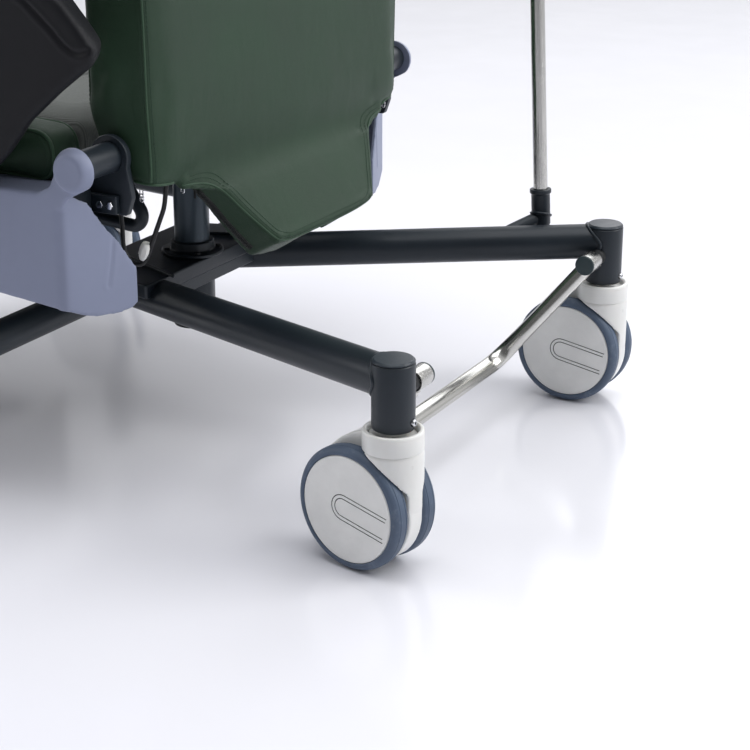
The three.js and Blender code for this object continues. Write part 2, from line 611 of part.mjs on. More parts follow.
function backFrame() {
  const lever = [
    [-381, 440], ...arc(BACK_ACTUATOR.farEnd, LUG_R, 200, 380, 6), [-357, 440]];
  return join(
    rodX(-384, 384, PIVOT_AXIS, PIVOT_R, 28),
    box(-282, 282, PANEL_FRONT_Y, PANEL_REAR_Y, 440, 1222),
    lugPair(BACK_ACTUATOR.x, (x0, x1) => plateYZ(lever, x0, x1)),
    mirrored((side) => rodY(-352, MOUNT_END_Y, [side * HANDLE_X, HANDLE_Z], 10, 14)));
}

// The holes in the rear pad clear the handle mounts.
function backRearCover() {
  return cut(plateYZ(rounded(BACK_REAR_PAD, 4), -BACK_X, BACK_X),
    mirrored((side) => rodY(-360, -300, [side * HANDLE_X, HANDLE_Z], 10.6, 16)));
}

// Tapering lower panel: a rear wall that slopes rearwards going down, with a
// gusset down each side.
function backSkirt() {
  const slopedPlate = (outline, depth) => {
    const geometry = extrudeXZ(outline, depth, 0);
    const position = geometry.attributes.position;
    for (let i = 0; i < position.count; i++) {
      const y = position.getY(i), z = position.getZ(i);
      position.setY(i, y + (SKIRT_TOP - z) * 0.545 + (BACK_REAR_Y - 0.3));
      position.setZ(i, z + y * 0.5);
    }
    return toSolid(geometry);
  };
  return join(slopedPlate(SKIRT_WALL, 11),
    mirrored((side) => slopedPlate(SKIRT_GUSSET.map(([x, z]) => [side * x, z]), 43)));
}

addPiece(backrest, 'back_frame', backFrame(), PAINT);
addPiece(backrest, 'back_cushion', plateYZ(rounded(BACK_CUSHION, 4), -BACK_X, BACK_X), VINYL);
addPiece(backrest, 'back_rear_cover', backRearCover(), VINYL);
addPiece(backrest, 'back_skirt', backSkirt(), VINYL);
addPiece(backrest, 'head_pillow', plateYZ(rounded(HEAD_PILLOW, 4), -150, 150), VINYL);
addPiece(backrest, 'push_handle', bentTube([
  [-HANDLE_X, MOUNT_END_Y + 0.4, HANDLE_Z], [-HANDLE_X, HANDLE_Y, HANDLE_Z],
  [HANDLE_X, HANDLE_Y, HANDLE_Z], [HANDLE_X, MOUNT_END_Y + 0.4, HANDLE_Z],
], 26, 10, 16, 4), STEEL);

// ---------------------------------------------------------------- actuators
// A tube hinged on the seat frame and a rod that slides in it. The rod's far
// eye sits between the lugs of the part it drives, without a pin.
function addActuator({ name, x, seatEnd, farEnd, tubeEnd, rodStart }) {
  const dy = farEnd[0] - seatEnd[0], dz = farEnd[1] - seatEnd[1];
  const length = Math.hypot(dy, dz);
  const at = (distance) => [
    x, seatEnd[0] + (dy / length) * distance, seatEnd[1] + (dz / length) * distance];
  const eye = ([, y, z]) => rodX(x - 7, x + 7, [y, z], 9, 16);
  const motorTop = at(38);
  const motorFoot = [x, motorTop[1], motorTop[2] - 27];
  const tube = cut(
    join(eye(at(0)), rod(at(0), at(30), 6, 12), rod(at(24), at(tubeEnd), 17, 20),
      rod(motorTop, motorFoot, 14, 16)),
    rod(at(56), at(tubeEnd + 5), 8.6, 16), rodX(x - 9, x + 9, seatEnd, 4.6, 14));
  addPiece(chair, `${name}_tube`, tube, BLACK);
  const slidingRod = join(rod(at(rodStart), at(length - 4), 8, 16), eye(at(length)));
  addPiece(chair, `${name}_rod`, slidingRod, STEEL);
}
addActuator(BACK_ACTUATOR);
addActuator(LEG_ACTUATOR);

// ------------------------------------------------------------------ legrest
const FOOT_AXIS = [-882, 130];                  // foot plate hinge

function legrestFrame() {
  const arm = [[-904, 330], ...arc(LEGREST_AXIS, 11.5, 0, 180, 8).reverse(), [-881.5, 330]];
  const lug = [
    [-897, 292], [-897, 334], [-864, 322], ...arc(LEG_ACTUATOR.farEnd, LUG_R, 30, -90, 5)];
  return cut(
    join(
      box(-292, 292, -904.5, -896.5, 318, 346),
      box(-235, 235, -904.5, -896.5, 160, 346),
      mirrored((side) => plateYZ(arm, ...span(side, 283, 293))),
      lugPair(LEG_ACTUATOR.x, (x0, x1) => plateYZ(lug, x0, x1)),
      mirrored((side) => sideBox(side, 168, 200, -897, -868, 160, 300))),
    // hinge holes, and channels for the footrest slide
    mirrored((side) => [
      rodX(side * 278, side * 300, LEGREST_AXIS, 6.6, 16),
      sideBox(side, 173, 195, -892, -873, 150, 310),
    ]));
}

function footrestSlide() {
  return join(
    mirrored((side) => sideBox(side, 173.5, 194.5, -891.5, -873.5, 133, 296)),
    box(-200, 200, -891.5, -873.5, 120, 140),
    mirrored((side) => rodX(side * 200, side * 214, FOOT_AXIS, 5, 12)));
}

function footPlate() {
  const plate = plateYZ(rounded([
    [-1085, 143], [-1085, 150, 3], [-897, 156, 2], [-897, 143],
  ], 2), -215, 215);
  const ear = [[-905, 145], ...arc(FOOT_AXIS, 9, -90, 90, 6), [-900, 145], [-905, 150]];
  return cut(join(plate, mirrored((side) => plateYZ(ear, ...span(side, 203, 211)))),
    mirrored((side) => rodX(side * 200.2, side * 216, FOOT_AXIS, 5.5, 14)));
}

addPiece(legrest, 'legrest_frame', legrestFrame(), PAINT);
addPiece(legrest, 'legrest_cushion', plateYZ(rounded([
  [-905, 392, 4], [-905, 172, 4], [-962, 172, 22], [-966, 388, 22],
], 4), -262, 262), VINYL);
addPiece(legrest, 'footrest_slide', footrestSlide(), PAINT);
addPiece(legrest, 'foot_plate', footPlate(), SHELL);

// ---------------------------------------------------------------- armrests
const ARM_IN = 346, ARM_OUT = 410;
const POST_TOP = 519;
const ARM_OUTLINE = [                           // [y, z, corner radius]
  [-312, 584, 5], [-318, 566, 8], [-364, 532], [-409, 494, 30], [-440, 456, 20],
  [-470, 428, 18], [-650, 426, 30], [-742, 508, 60], [-806, 590, 30], [-822, 650, 18],
  [-818, 694, 14], [-780, 708, 20], [-480, 706, 40], [-357, 636], [-330, 606, 10],
];

// The rear end sweeps forward towards the inside; the sweep fades in from
// y = -720 to y = -480.
function armrestPad(side) {
  const pad = plateYZ(rounded(ARM_OUTLINE, 3), ...span(side, ARM_IN, ARM_OUT)).warp((vertex) => {
    const blend = Math.min(1, Math.max(0, (vertex[1] + 720) / 240));
    vertex[1] -= 0.57 * (ARM_OUT - Math.abs(vertex[0])) * blend;
  });
  return cut(pad, post(side * POST_X, POST_Y, 400, POST_TOP + 1, POST_R + 0.4, 18));
}
for (const [label, side] of SIDES) {
  addPiece(chair, `armrest_${label}`, armrestPad(side), BLACK);
  addPiece(chair, `armrest_post_${label}`,
    post(side * POST_X, POST_Y, 310, POST_TOP, POST_R, 18), STEEL);
}

export default chair;
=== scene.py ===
"""Looks for the reclining treatment chair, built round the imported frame.

Lengths in the helpers are millimetres in the design frame, whose origin is on
the floor midway between the rear castor sockets; D() turns them into metres in
the frame's own axes.
"""
import json
import math
import bpy
import bmesh
import numpy as np
from mathutils import Vector, Matrix, noise
from mathutils.bvhtree import BVHTree
from mathutils.kdtree import KDTree


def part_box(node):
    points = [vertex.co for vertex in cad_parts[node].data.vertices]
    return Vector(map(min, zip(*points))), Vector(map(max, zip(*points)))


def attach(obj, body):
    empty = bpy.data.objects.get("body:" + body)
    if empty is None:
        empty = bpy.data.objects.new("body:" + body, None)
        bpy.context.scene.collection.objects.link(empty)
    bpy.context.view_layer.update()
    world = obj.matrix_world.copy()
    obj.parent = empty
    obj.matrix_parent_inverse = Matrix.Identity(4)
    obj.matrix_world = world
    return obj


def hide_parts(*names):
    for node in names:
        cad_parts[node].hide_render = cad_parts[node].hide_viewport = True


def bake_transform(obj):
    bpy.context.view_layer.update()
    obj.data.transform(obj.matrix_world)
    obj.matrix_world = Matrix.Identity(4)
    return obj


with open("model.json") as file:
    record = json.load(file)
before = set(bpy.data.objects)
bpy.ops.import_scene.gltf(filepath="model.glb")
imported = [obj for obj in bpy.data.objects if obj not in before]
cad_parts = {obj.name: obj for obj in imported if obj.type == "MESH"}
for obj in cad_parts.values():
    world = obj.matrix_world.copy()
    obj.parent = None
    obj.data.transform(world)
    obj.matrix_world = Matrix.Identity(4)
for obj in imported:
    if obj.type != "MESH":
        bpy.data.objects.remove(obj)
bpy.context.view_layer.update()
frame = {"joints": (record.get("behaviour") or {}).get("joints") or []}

scene = bpy.context.scene
pi, sin, cos, rad = math.pi, math.sin, math.cos, math.radians

# The rear castor sockets set the design frame: their centre line in Y is its zero.
_lo, _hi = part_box("socket_cap_rl")
SY = (_lo.y + _hi.y) / 2 * 1000
REAR_X = (_lo.x + _hi.x) / 2 * 1000
_lo, _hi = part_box("socket_cap_fl")
FRONT_X = (_lo.x + _hi.x) / 2 * 1000
FRONT_Y = (_lo.y + _hi.y) / 2 * 1000 - SY


def D(p):
    return Vector((p[0] / 1000, (p[1] + SY) / 1000, p[2] / 1000))


# ------------------------------------------------------------------ materials
class Nodes:
    """A small helper for node trees: coordinates are the object's own, in metres."""

    def __init__(self, name):
        self.m = bpy.data.materials.new(name)
        self.m.use_nodes = True
        self.t = self.m.node_tree
        self.b = self.t.nodes["Principled BSDF"]
        self.co = self.t.nodes.new("ShaderNodeTexCoord").outputs["Object"]

    def new(self, kind, **kw):
        n = self.t.nodes.new("ShaderNode" + kind)
        for k, v in kw.items():
            if hasattr(n, k) and k not in n.inputs:
                setattr(n, k, v)
        for k, v in kw.items():
            if k in n.inputs:
                self.put(n.inputs[k], v)
        return n

    def put(self, socket, v):
        if isinstance(v, bpy.types.NodeSocket):
            self.t.links.new(v, socket)
        else:
            socket.default_value = v

    def scaled(self, s):
        n = self.new("Mapping")
        self.put(n.inputs["Vector"], self.co)
        n.inputs["Scale"].default_value = s if not isinstance(s, (int, float)) else (s, s, s)
        return n.outputs["Vector"]

    def noise(self, scale, detail=3, rough=0.5, vec=None, distortion=0.0):
        n = self.t.nodes.new("ShaderNodeTexNoise")
        self.put(n.inputs["Vector"], vec or self.co)
        n.inputs["Scale"].default_value = scale
        n.inputs["Detail"].default_value = detail
        n.inputs["Roughness"].default_value = rough
        n.inputs["Distortion"].default_value = distortion
        return n.outputs["Fac"]

    def voronoi(self, scale, feature="DISTANCE_TO_EDGE", vec=None, rand=1.0):
        n = self.t.nodes.new("ShaderNodeTexVoronoi")
        n.feature = feature
        self.put(n.inputs["Vector"], vec or self.co)
        n.inputs["Scale"].default_value = scale
        n.inputs["Randomness"].default_value = rand
        return n.outputs["Distance"]

    def wave(self, scale, axis="X", distortion=0.0, vec=None, dscale=1.0):
        n = self.t.nodes.new("ShaderNodeTexWave")
        n.wave_type = "BANDS"
        n.bands_direction = axis
        n.wave_profile = "SIN"
        self.put(n.inputs["Vector"], vec or self.co)
        n.inputs["Scale"].default_value = scale
        n.inputs["Distortion"].default_value = distortion
        n.inputs["Detail"].default_value = 1.0
        n.inputs["Detail Scale"].default_value = dscale
        return n.outputs["Fac"]

    def math(self, op, a, b=0.0, c=None, clamp=False):
        n = self.t.nodes.new("ShaderNodeMath")
        n.operation = op
        n.use_clamp = clamp
        self.put(n.inputs[0], a)
        self.put(n.inputs[1], b)
        if c is not None:
            self.put(n.inputs[2], c)
        return n.outputs[0]

    def map(self, v, a, b, c, d):
        n = self.t.nodes.new("ShaderNodeMapRange")
        self.put(n.inputs["Value"], v)
        for k, x in zip(("From Min", "From Max", "To Min", "To Max"), (a, b, c, d)):
            n.inputs[k].default_value = x
        return n.outputs["Result"]

    def mix(self, f, a, b, blend="MIX"):
        n = self.t.nodes.new("ShaderNodeMix")
        n.data_type = "RGBA"
        n.blend_type = blend
        self.put(n.inputs[0], f)
        for k, v in ((6, a), (7, b)):
            if isinstance(v, (tuple, list)):
                v = tuple(v) + (1.0,) * (4 - len(v))
            self.put(n.inputs[k], v)
        return n.outputs[2]

    def bump(self, height, distance, strength=1.0, normal=None):
        n = self.t.nodes.new("ShaderNodeBump")
        self.put(n.inputs["Height"], height)
        n.inputs["Distance"].default_value = distance
        n.inputs["Strength"].default_value = strength
        if normal is not None:
            self.put(n.inputs["Normal"], normal)
        return n.outputs["Normal"]

    def edge(self, lo=0.53, hi=0.62):
        g = self.t.nodes.new("ShaderNodeNewGeometry").outputs["Pointiness"]
        return self.map(g, lo, hi, 0.0, 1.0)

    def set(self, **kw):
        for k, v in kw.items():
            self.put(self.b.inputs[k.replace("_", " ")], v)
        return self.m


def lin(h):
    h = h.lstrip("#")
    c = [int(h[i:i + 2], 16) / 255 for i in (0, 2, 4)]
    return tuple(x / 12.92 if x <= 0.04045 else ((x + 0.055) / 1.055) ** 2.4 for x in c)


def shade(c, k):
    return tuple(min(1.0, x * k) for x in c)


def vinyl(name, hexcol, gain=1.0):
    n = Nodes(name)
    c = shade(lin(hexcol), gain)
    blotch = n.noise(7.0, 4, 0.6)
    col = n.mix(n.map(blotch, 0.3, 0.7, 0, 1), shade(c, 0.86), shade(c, 1.12))
    cell = n.voronoi(620.0)
    fine = n.noise(1500.0, 3, 0.6)
    crease = n.map(cell, 0.0, 0.09, 0.0, 1.0)
    col = n.mix(n.map(cell, 0.0, 0.05, 0.45, 0.0), col, shade(c, 0.5))
    col = n.mix(n.math("MULTIPLY", n.edge(0.56, 0.7), 0.35), col, shade(c, 1.7))
    pull = n.noise(28.0, 3, 0.55, vec=n.scaled((1.0, 1.0, 0.35)), distortion=0.6)
    b1 = n.bump(pull, 0.0022, 0.35)
    b2 = n.bump(n.math("ADD", crease, n.math("MULTIPLY", fine, 0.5)), 0.00028, 0.55, b1)
    rough = n.math("ADD", n.map(blotch, 0.2, 0.8, 0.40, 0.52), n.map(cell, 0.0, 0.08, 0.12, 0.0))
    return n.set(Base_Color=col, Roughness=rough, Normal=b2, Specular_IOR_Level=0.26,
                 Sheen_Weight=0.03, Sheen_Roughness=0.4)


def weave(name, hexcol):
    n = Nodes(name)
    c = lin(hexcol)
    wx = n.wave(260.0, "X", 1.2, dscale=60.0)
    wy = n.wave(260.0, "Y", 1.2, dscale=60.0)
    wz = n.wave(260.0, "Z", 1.2, dscale=60.0)
    cross = n.math("MULTIPLY", wx, n.math("MAXIMUM", wy, wz))
    fleck = n.noise(900.0, 2, 0.7)
    col = n.mix(n.map(cross, 0.0, 0.7, 0.0, 1.0), shade(c, 0.60), shade(c, 1.22))
    col = n.mix(n.map(fleck, 0.42, 0.62, 0.0, 0.55), col, shade(c, 0.62))
    col = n.mix(n.map(n.noise(5.0, 3), 0.3, 0.7, 0.0, 0.25), col, shade(c, 0.8))
    b = n.bump(n.noise(26.0, 3), 0.0016, 0.3)
    b = n.bump(n.math("ADD", cross, fleck), 0.0007, 0.7, b)
    return n.set(Base_Color=col, Roughness=n.map(fleck, 0.3, 0.7, 0.72, 0.92), Normal=b,
                 Sheen_Weight=0.25, Sheen_Roughness=0.5, Specular_IOR_Level=0.25)


def paint(name, hexcol, rough=(0.34, 0.46), metallic=0.12, gain=1.0):
    n = Nodes(name)
    c = shade(lin(hexcol), gain)
    soft = n.noise(9.0, 4, 0.6)
    peel = n.noise(420.0, 2, 0.5)
    speck = n.noise(1800.0, 1, 0.5)
    col = n.mix(n.map(soft, 0.3, 0.7, 0.0, 1.0), shade(c, 0.88), shade(c, 1.12))
    col = n.mix(n.map(speck, 0.62, 0.72, 0.0, 0.35), col, shade(c, 2.0))
    col = n.mix(n.math("MULTIPLY", n.edge(0.54, 0.66), 0.4), col, shade(c, 2.1))
    scuff = n.map(n.noise(60.0, 5, 0.7, vec=n.scaled((1, 1, 3))), 0.60, 0.72, 0.0, 0.12)
    r = n.math("ADD", n.map(soft, 0.25, 0.75, rough[0], rough[1]), scuff)
    b = n.bump(peel, 0.00022, 0.5)
    b = n.bump(speck, 0.00006, 0.5, b)
    return n.set(Base_Color=col, Roughness=r, Normal=b, Metallic=metallic, Coat_Weight=0.10, Coat_Roughness=0.25, Specular_IOR_Level=0.35)


def steel(name, along="Z", hexcol="#c9c8c4", rough=(0.13, 0.27), line=1.0):
    n = Nodes(name)
    c = lin(hexcol)
    s = {"X": (6.0, 900.0, 900.0), "Y": (900.0, 6.0, 900.0), "Z": (900.0, 900.0, 6.0), "": (420.0, 420.0, 420.0)}[along]
    hair = n.noise(1.0, 3, 0.6, vec=n.scaled(s))
    soft = n.noise(14.0, 4, 0.6)
    col = n.mix(n.map(hair, 0.3, 0.7, 0.0, 1.0), shade(c, 0.80), shade(c, 1.05))
    col = n.mix(n.map(soft, 0.5, 0.8, 0.0, 0.25), col, shade(c, 0.7))
    r = n.math("ADD", n.map(hair, 0.25, 0.75, rough[0], rough[1]), n.map(soft, 0.4, 0.8, 0.0, 0.10))
    return n.set(Base_Color=col, Roughness=r, Normal=n.bump(hair, 0.00006, 0.55 * line), Metallic=1.0)


def plastic(name, hexcol, rough=(0.35, 0.5), grain=500.0, depth=0.00012, spec=0.45, sss=0.0, dirt=0.10, gain=1.0, coat=0.0):
    n = Nodes(name)
    c = shade(lin(hexcol), gain)
    soft = n.noise(11.0, 4, 0.6)
    g = n.noise(grain, 3, 0.6)
    col = n.mix(n.map(soft, 0.3, 0.7, 0.0, 1.0), shade(c, 1 - dirt), shade(c, 1 + 0.4 * dirt))
    # darker in hollows and creases, where pointiness is low: painted shade
    col = n.mix(n.map(n.edge(0.40, 0.49), 0.0, 1.0, 0.30, 0.0), col, shade(c, 0.6))
    scratch = n.map(n.noise(1.0, 2, 0.5, vec=n.scaled((40.0, 700.0, 90.0))), 0.66, 0.74, 0.0, 0.10)
    r = n.math("ADD", n.map(soft, 0.25, 0.75, rough[0], rough[1]), scratch)
    b = n.bump(soft, 0.0008, 0.08)
    b = n.bump(g, depth, 0.6, b)
    n.set(Base_Color=col, Roughness=r, Normal=b, Specular_IOR_Level=spec, Coat_Weight=coat, Coat_Roughness=0.15)
    if sss:
        n.set(Subsurface_Weight=sss, Subsurface_Radius=(0.004, 0.0035, 0.003), Subsurface_Scale=1.0)
    return n.m


def tyre(name, hexcol):
    """Wheel objects have their axle along X through the object's own origin."""
    n = Nodes(name)
    c = lin(hexcol)
    soft = n.noise(18.0, 4, 0.65)
    g = n.noise(900.0, 3, 0.6)
    col = n.mix(n.map(soft, 0.3, 0.75, 0.0, 1.0), shade(c, 0.86), shade(c, 1.16))
    dust = n.map(n.noise(70.0, 5, 0.7), 0.55, 0.75, 0.0, 0.22)
    col = n.mix(dust, col, (0.35, 0.37, 0.40))
    sep = n.t.nodes.new("ShaderNodeSeparateXYZ")
    n.put(sep.inputs[0], n.co)
    ring = n.math("ABSOLUTE", n.math("SINE", n.math("MULTIPLY", sep.outputs[0], 2600.0)))
    b = n.bump(ring, 0.00015, 0.35)
    b = n.bump(g, 0.00018, 0.6, b)
    return n.set(Base_Color=col, Roughness=n.map(soft, 0.2, 0.8, 0.42, 0.60), Normal=b, Specular_IOR_Level=0.4)


def disc_plastic(name, hexcol):
    n = Nodes(name)
    c = lin(hexcol)
    sep = n.t.nodes.new("ShaderNodeSeparateXYZ")
    n.put(sep.inputs[0], n.co)
    r2 = n.math("SQRT", n.math("ADD", n.math("MULTIPLY", sep.outputs[1], sep.outputs[1]),
                              n.math("MULTIPLY", sep.outputs[2], sep.outputs[2])))
    rings = n.math("SINE", n.math("MULTIPLY", r2, 5200.0))
    soft = n.noise(22.0, 4, 0.6)
    col = n.mix(n.map(soft, 0.3, 0.7, 0.0, 1.0), shade(c, 0.93), shade(c, 1.04))
    col = n.mix(n.map(n.noise(240.0, 4, 0.7), 0.60, 0.74, 0.0, 0.18), col, shade(c, 0.7))
    b = n.bump(n.noise(1100.0, 2), 0.00008, 0.6)
    b = n.bump(rings, 0.00003, 0.5, b)
    return n.set(Base_Color=col, Roughness=n.map(soft, 0.25, 0.75, 0.36, 0.50), Normal=b, Specular_IOR_Level=0.45)


GREEN, GREEN_HEX = "vinyl_green", "#3c5743"
M = {
    "vinyl": vinyl("upholstery_vinyl", "#3a5a42", 0.46),
    "piping": vinyl("piping_vinyl", "#426049", 0.66),
    "weave": weave("seat_textile", "#868a86"),
    "thread": plastic("stitch_thread", "#223b2c", (0.6, 0.8), 2500.0, 0.0002),
    "thread_grey": plastic("stitch_thread_grey", "#5f6462", (0.6, 0.8), 2500.0, 0.0002),
    "tape": weave("zip_tape", "#181c1a"),
    "paint": paint("frame_paint", "#2b343d", gain=0.62),
    "paint_cap": paint("cap_paint", "#333c45", (0.30, 0.42), gain=0.72),
    "paint_stub": paint("stub_cap_paint", "#37464a", (0.36, 0.5), 0.05, 0.8),
    "weld": paint("weld_bead_paint", "#2e3740", (0.28, 0.4), gain=0.66),
    "column": paint("column_paint", "#44535f", (0.26, 0.36), 0.25, 0.7),
    "actuator": paint("actuator_paint", "#3d4246", (0.4, 0.55)),
    "steel_z": steel("stainless_drawn_upright", "Z"),
    "steel_x": steel("stainless_drawn_cross", "X", "#d0cfca", (0.10, 0.22)),
    "steel_n": steel("stainless_turned", "", "#c4c3bf", (0.15, 0.3)),
    "zinc": steel("zinc_plated", "", "#e4e6ea", (0.08, 0.2)),
    "cover": plastic("cover_plastic", "#878ea6", (0.40, 0.52), 700.0, 0.00010, 0.4, 0.0, 0.06),
    "white": plastic("castor_plastic", "#e8e8e5", (0.26, 0.38), 800.0, 0.00006, 0.5, 0.12, 0.05, 1.0, 0.25),
    "disc": disc_plastic("wheel_disc_plastic", "#ededeb"),
    "groove": plastic("groove_shadow", "#26292c", (0.6, 0.8), 900.0, 0.0001),
    "tyre": tyre("tread_rubber", "#505e72"),
    "foam": plastic("armrest_foam", "#111217", (0.50, 0.66), 1100.0, 0.00030, 0.26, 0.0, 0.14),
    "black": plastic("black_moulding", "#17191b", (0.42, 0.6), 1300.0, 0.00022, 0.4),
    "cable": plastic("cable_sheath", "#101214", (0.38, 0.5), 1500.0, 0.00010, 0.45),
    "plug": plastic("plug_plastic", "#efefea", (0.3, 0.42), 900.0, 0.00008, 0.5, 0.1, 0.05),
    "rubber": plastic("rubber_mat", "#1d2022", (0.6, 0.8), 900.0, 0.0003, 0.3),
}


# ------------------------------------------------------------- mesh helpers
def fil(pts, closed=True, steps=5):
    """A polyline with rounded corners: each point is (u, v[, radius])."""
    out, n = [], len(pts)
    for i, p in enumerate(pts):
        u, v = p[0], p[1]
        r = p[2] if len(p) > 2 else 0
        if not r or (not closed and i in (0, n - 1)):
            out.append((u, v))
            continue
        P = Vector((u, v))
        A, B = Vector(pts[i - 1][:2]), Vector(pts[(i + 1) % n][:2])
        da, db = (A - P), (B - P)
        la, lb = da.length, db.length
        da.normalize(), db.normalize()
        half = math.acos(max(-1, min(1, da.dot(db)))) / 2
        if half > pi / 2 - 0.01 or half < 0.01:
            out.append((u, v))
            continue
        t = min(r / math.tan(half), 0.49 * la, 0.49 * lb)
        rr = t * math.tan(half)
        c = P + (da + db).normalized() * (rr / sin(half))
        s0, s1 = P + da * t - c, P + db * t - c
        a0 = math.atan2(s0.y, s0.x)
        a1 = math.atan2(s1.y, s1.x) - a0
        while a1 > pi: a1 -= 2 * pi
        while a1 < -pi: a1 += 2 * pi
        k = max(2, min(steps * 3, int(steps * abs(a1) / (pi / 2)) + 1))
        for j in range(k + 1):
            th = a0 + a1 * j / k
            out.append((c.x + rr * cos(th), c.y + rr * sin(th)))
    return out


class Geo:
    def __init__(self):
        self.v, self.f, self.mi = [], [], []

    def add(self, v, f, mi=0):
        o = len(self.v)
        self.v += [Vector(p) for p in v]
        self.f += [tuple(i + o for i in q) for q in f]
        self.mi += [mi] * len(f)
        return self

    def map(self, fn):
        self.v = [Vector(fn(p)) for p in self.v]
        return self


def axes(axis, ref=None):
    w = Vector(axis).normalized()
    ref = Vector(ref) if ref is not None else (Vector((0, 0, 1)) if abs(w.z) < 0.9 else Vector((1, 0, 0)))
    u = (ref - w * w.dot(ref)).normalized()
    return u, w.cross(u), w


def lathe(profile, base=(0, 0, 0), axis=(0, 0, 1), seg=72, closed=False):
    """Turned shape; profile is (radius, height) points."""
    u, v, w = axes(axis)
    b = Vector(base)
    verts, rings, faces = [], [], []
    for r, h in profile:
        if r < 1e-6 and not closed:
            rings.append([len(verts)])
            verts.append(b + w * h)
        else:
            rings.append(list(range(len(verts), len(verts) + seg)))
            verts += [b + w * h + (u * cos(2 * pi * i / seg) + v * sin(2 * pi * i / seg)) * r for i in range(seg)]
    pairs = list(zip(rings, rings[1:])) + ([(rings[-1], rings[0])] if closed else [])
    for A, B in pairs:
        for i in range(seg):
            j = (i + 1) % seg
            if len(A) == 1 and len(B) == 1:
                continue
            if len(A) == 1:
                faces.append((A[0], B[j], B[i]))
            elif len(B) == 1:
                faces.append((A[i], A[j], B[0]))
            else:
                faces.append((A[i], A[j], B[j], B[i]))
    return verts, faces


def bent(points, R=0, step=4.0, arc=8):
    """Centre line of a bent tube: stations along straight runs joined by arcs."""
    P = [Vector(p) for p in points]
    out = [P[0]]
    for i in range(1, len(P) - 1):
        d0, d1 = (P[i] - P[i - 1]).normalized(), (P[i + 1] - P[i]).normalized()
        turn = math.acos(max(-1, min(1, d0.dot(d1))))
        r = R[i - 1] if isinstance(R, (list, tuple)) else R
        if turn < 1e-3 or not r:
            out.append(P[i])
            continue
        t = min(r * math.tan(turn / 2), 0.49 * (P[i] - P[i - 1]).length, 0.49 * (P[i + 1] - P[i]).length)
        r = t / math.tan(turn / 2)
        nrm = (d1 - d0 * d0.dot(d1)).normalized()
        c = P[i] - d0 * t + nrm * r
        k = max(3, int(arc * turn / (pi / 2)) + 1)
        for j in range(k + 1):
            th = turn * j / k
            out.append(c + d0 * (r * sin(th)) - nrm * (r * cos(th)))
    out.append(P[-1])
    res = [out[0]]
    for q in out[1:]:
        d = (q - res[-1]).length
        if d < 1e-4:
            continue
        m = max(1, int(d / (step * 6)))
        a = res[-1]
        for k in range(1, m + 1):
            res.append(a.lerp(q, k / m))
    return res


def sweep(path, r, seg=28, closed=False, chamfer=0.8, section=None, up=None):
    """A tube along a path. r is a radius or a function of the share of the length; section(t, angle) gives a radius factor."""
    P = [Vector(p) for p in path]
    n = len(P)
    tang = []
    for i in range(n):
        a = P[(i - 1) % n] if (closed or i > 0) else P[i]
        b = P[(i + 1) % n] if (closed or i < n - 1) else P[i]
        tang.append((b - a).normalized())
    u = axes(tang[0], up)[0]
    length = [0.0]
    for i in range(1, n):
        length.append(length[-1] + (P[i] - P[i - 1]).length)
    total = length[-1] or 1.0
    us = []
    for i in range(n):
        u = (u - tang[i] * u.dot(tang[i])).normalized()
        us.append(u)
    if closed:   # undo the twist a closed loop picks up
        v0 = tang[0].cross(us[0])
        e = (us[-1] - tang[0] * us[-1].dot(tang[0])).normalized()
        tw = math.atan2(e.dot(v0), e.dot(us[0]))
        us = [Matrix.Rotation(-tw * i / n, 3, tang[i]) @ us[i] for i in range(n)]
    verts, faces = [], []

    def ring(c, t, uu, rr, s):
        v = t.cross(uu)
        o = len(verts)
        for k in range(seg):
            a = 2 * pi * k / seg
            f = section(s, a) if section else 1.0
            fx, fy = (f, f) if not isinstance(f, tuple) else f
            verts.append(c + uu * (cos(a) * rr * fx) + v * (sin(a) * rr * fy))
        return list(range(o, o + seg))

    rings = []
    rad_at = r if callable(r) else (lambda s: r)
    if not closed and chamfer:
        rings.append(ring(P[0], tang[0], us[0], rad_at(0) - chamfer, 0))
    for i in range(n):
        c = P[i]
        if not closed and chamfer and i == 0:
            c = P[0] + tang[0] * chamfer
        if not closed and chamfer and i == n - 1:
            c = P[-1] - tang[-1] * chamfer
        rings.append(ring(c, tang[i], us[i], rad_at(length[i] / total), length[i] / total))
    if not closed and chamfer:
        rings.append(ring(P[-1], tang[-1], us[-1], rad_at(1) - chamfer, 1))
    for A, B in list(zip(rings, rings[1:])) + ([(rings[-1], rings[0])] if closed else []):
        for k in range(seg):
            j = (k + 1) % seg
            faces.append((A[k], A[j], B[j], B[k]))
    if not closed:
        faces.append(tuple(reversed(rings[0])))
        faces.append(tuple(rings[-1]))
    return verts, faces


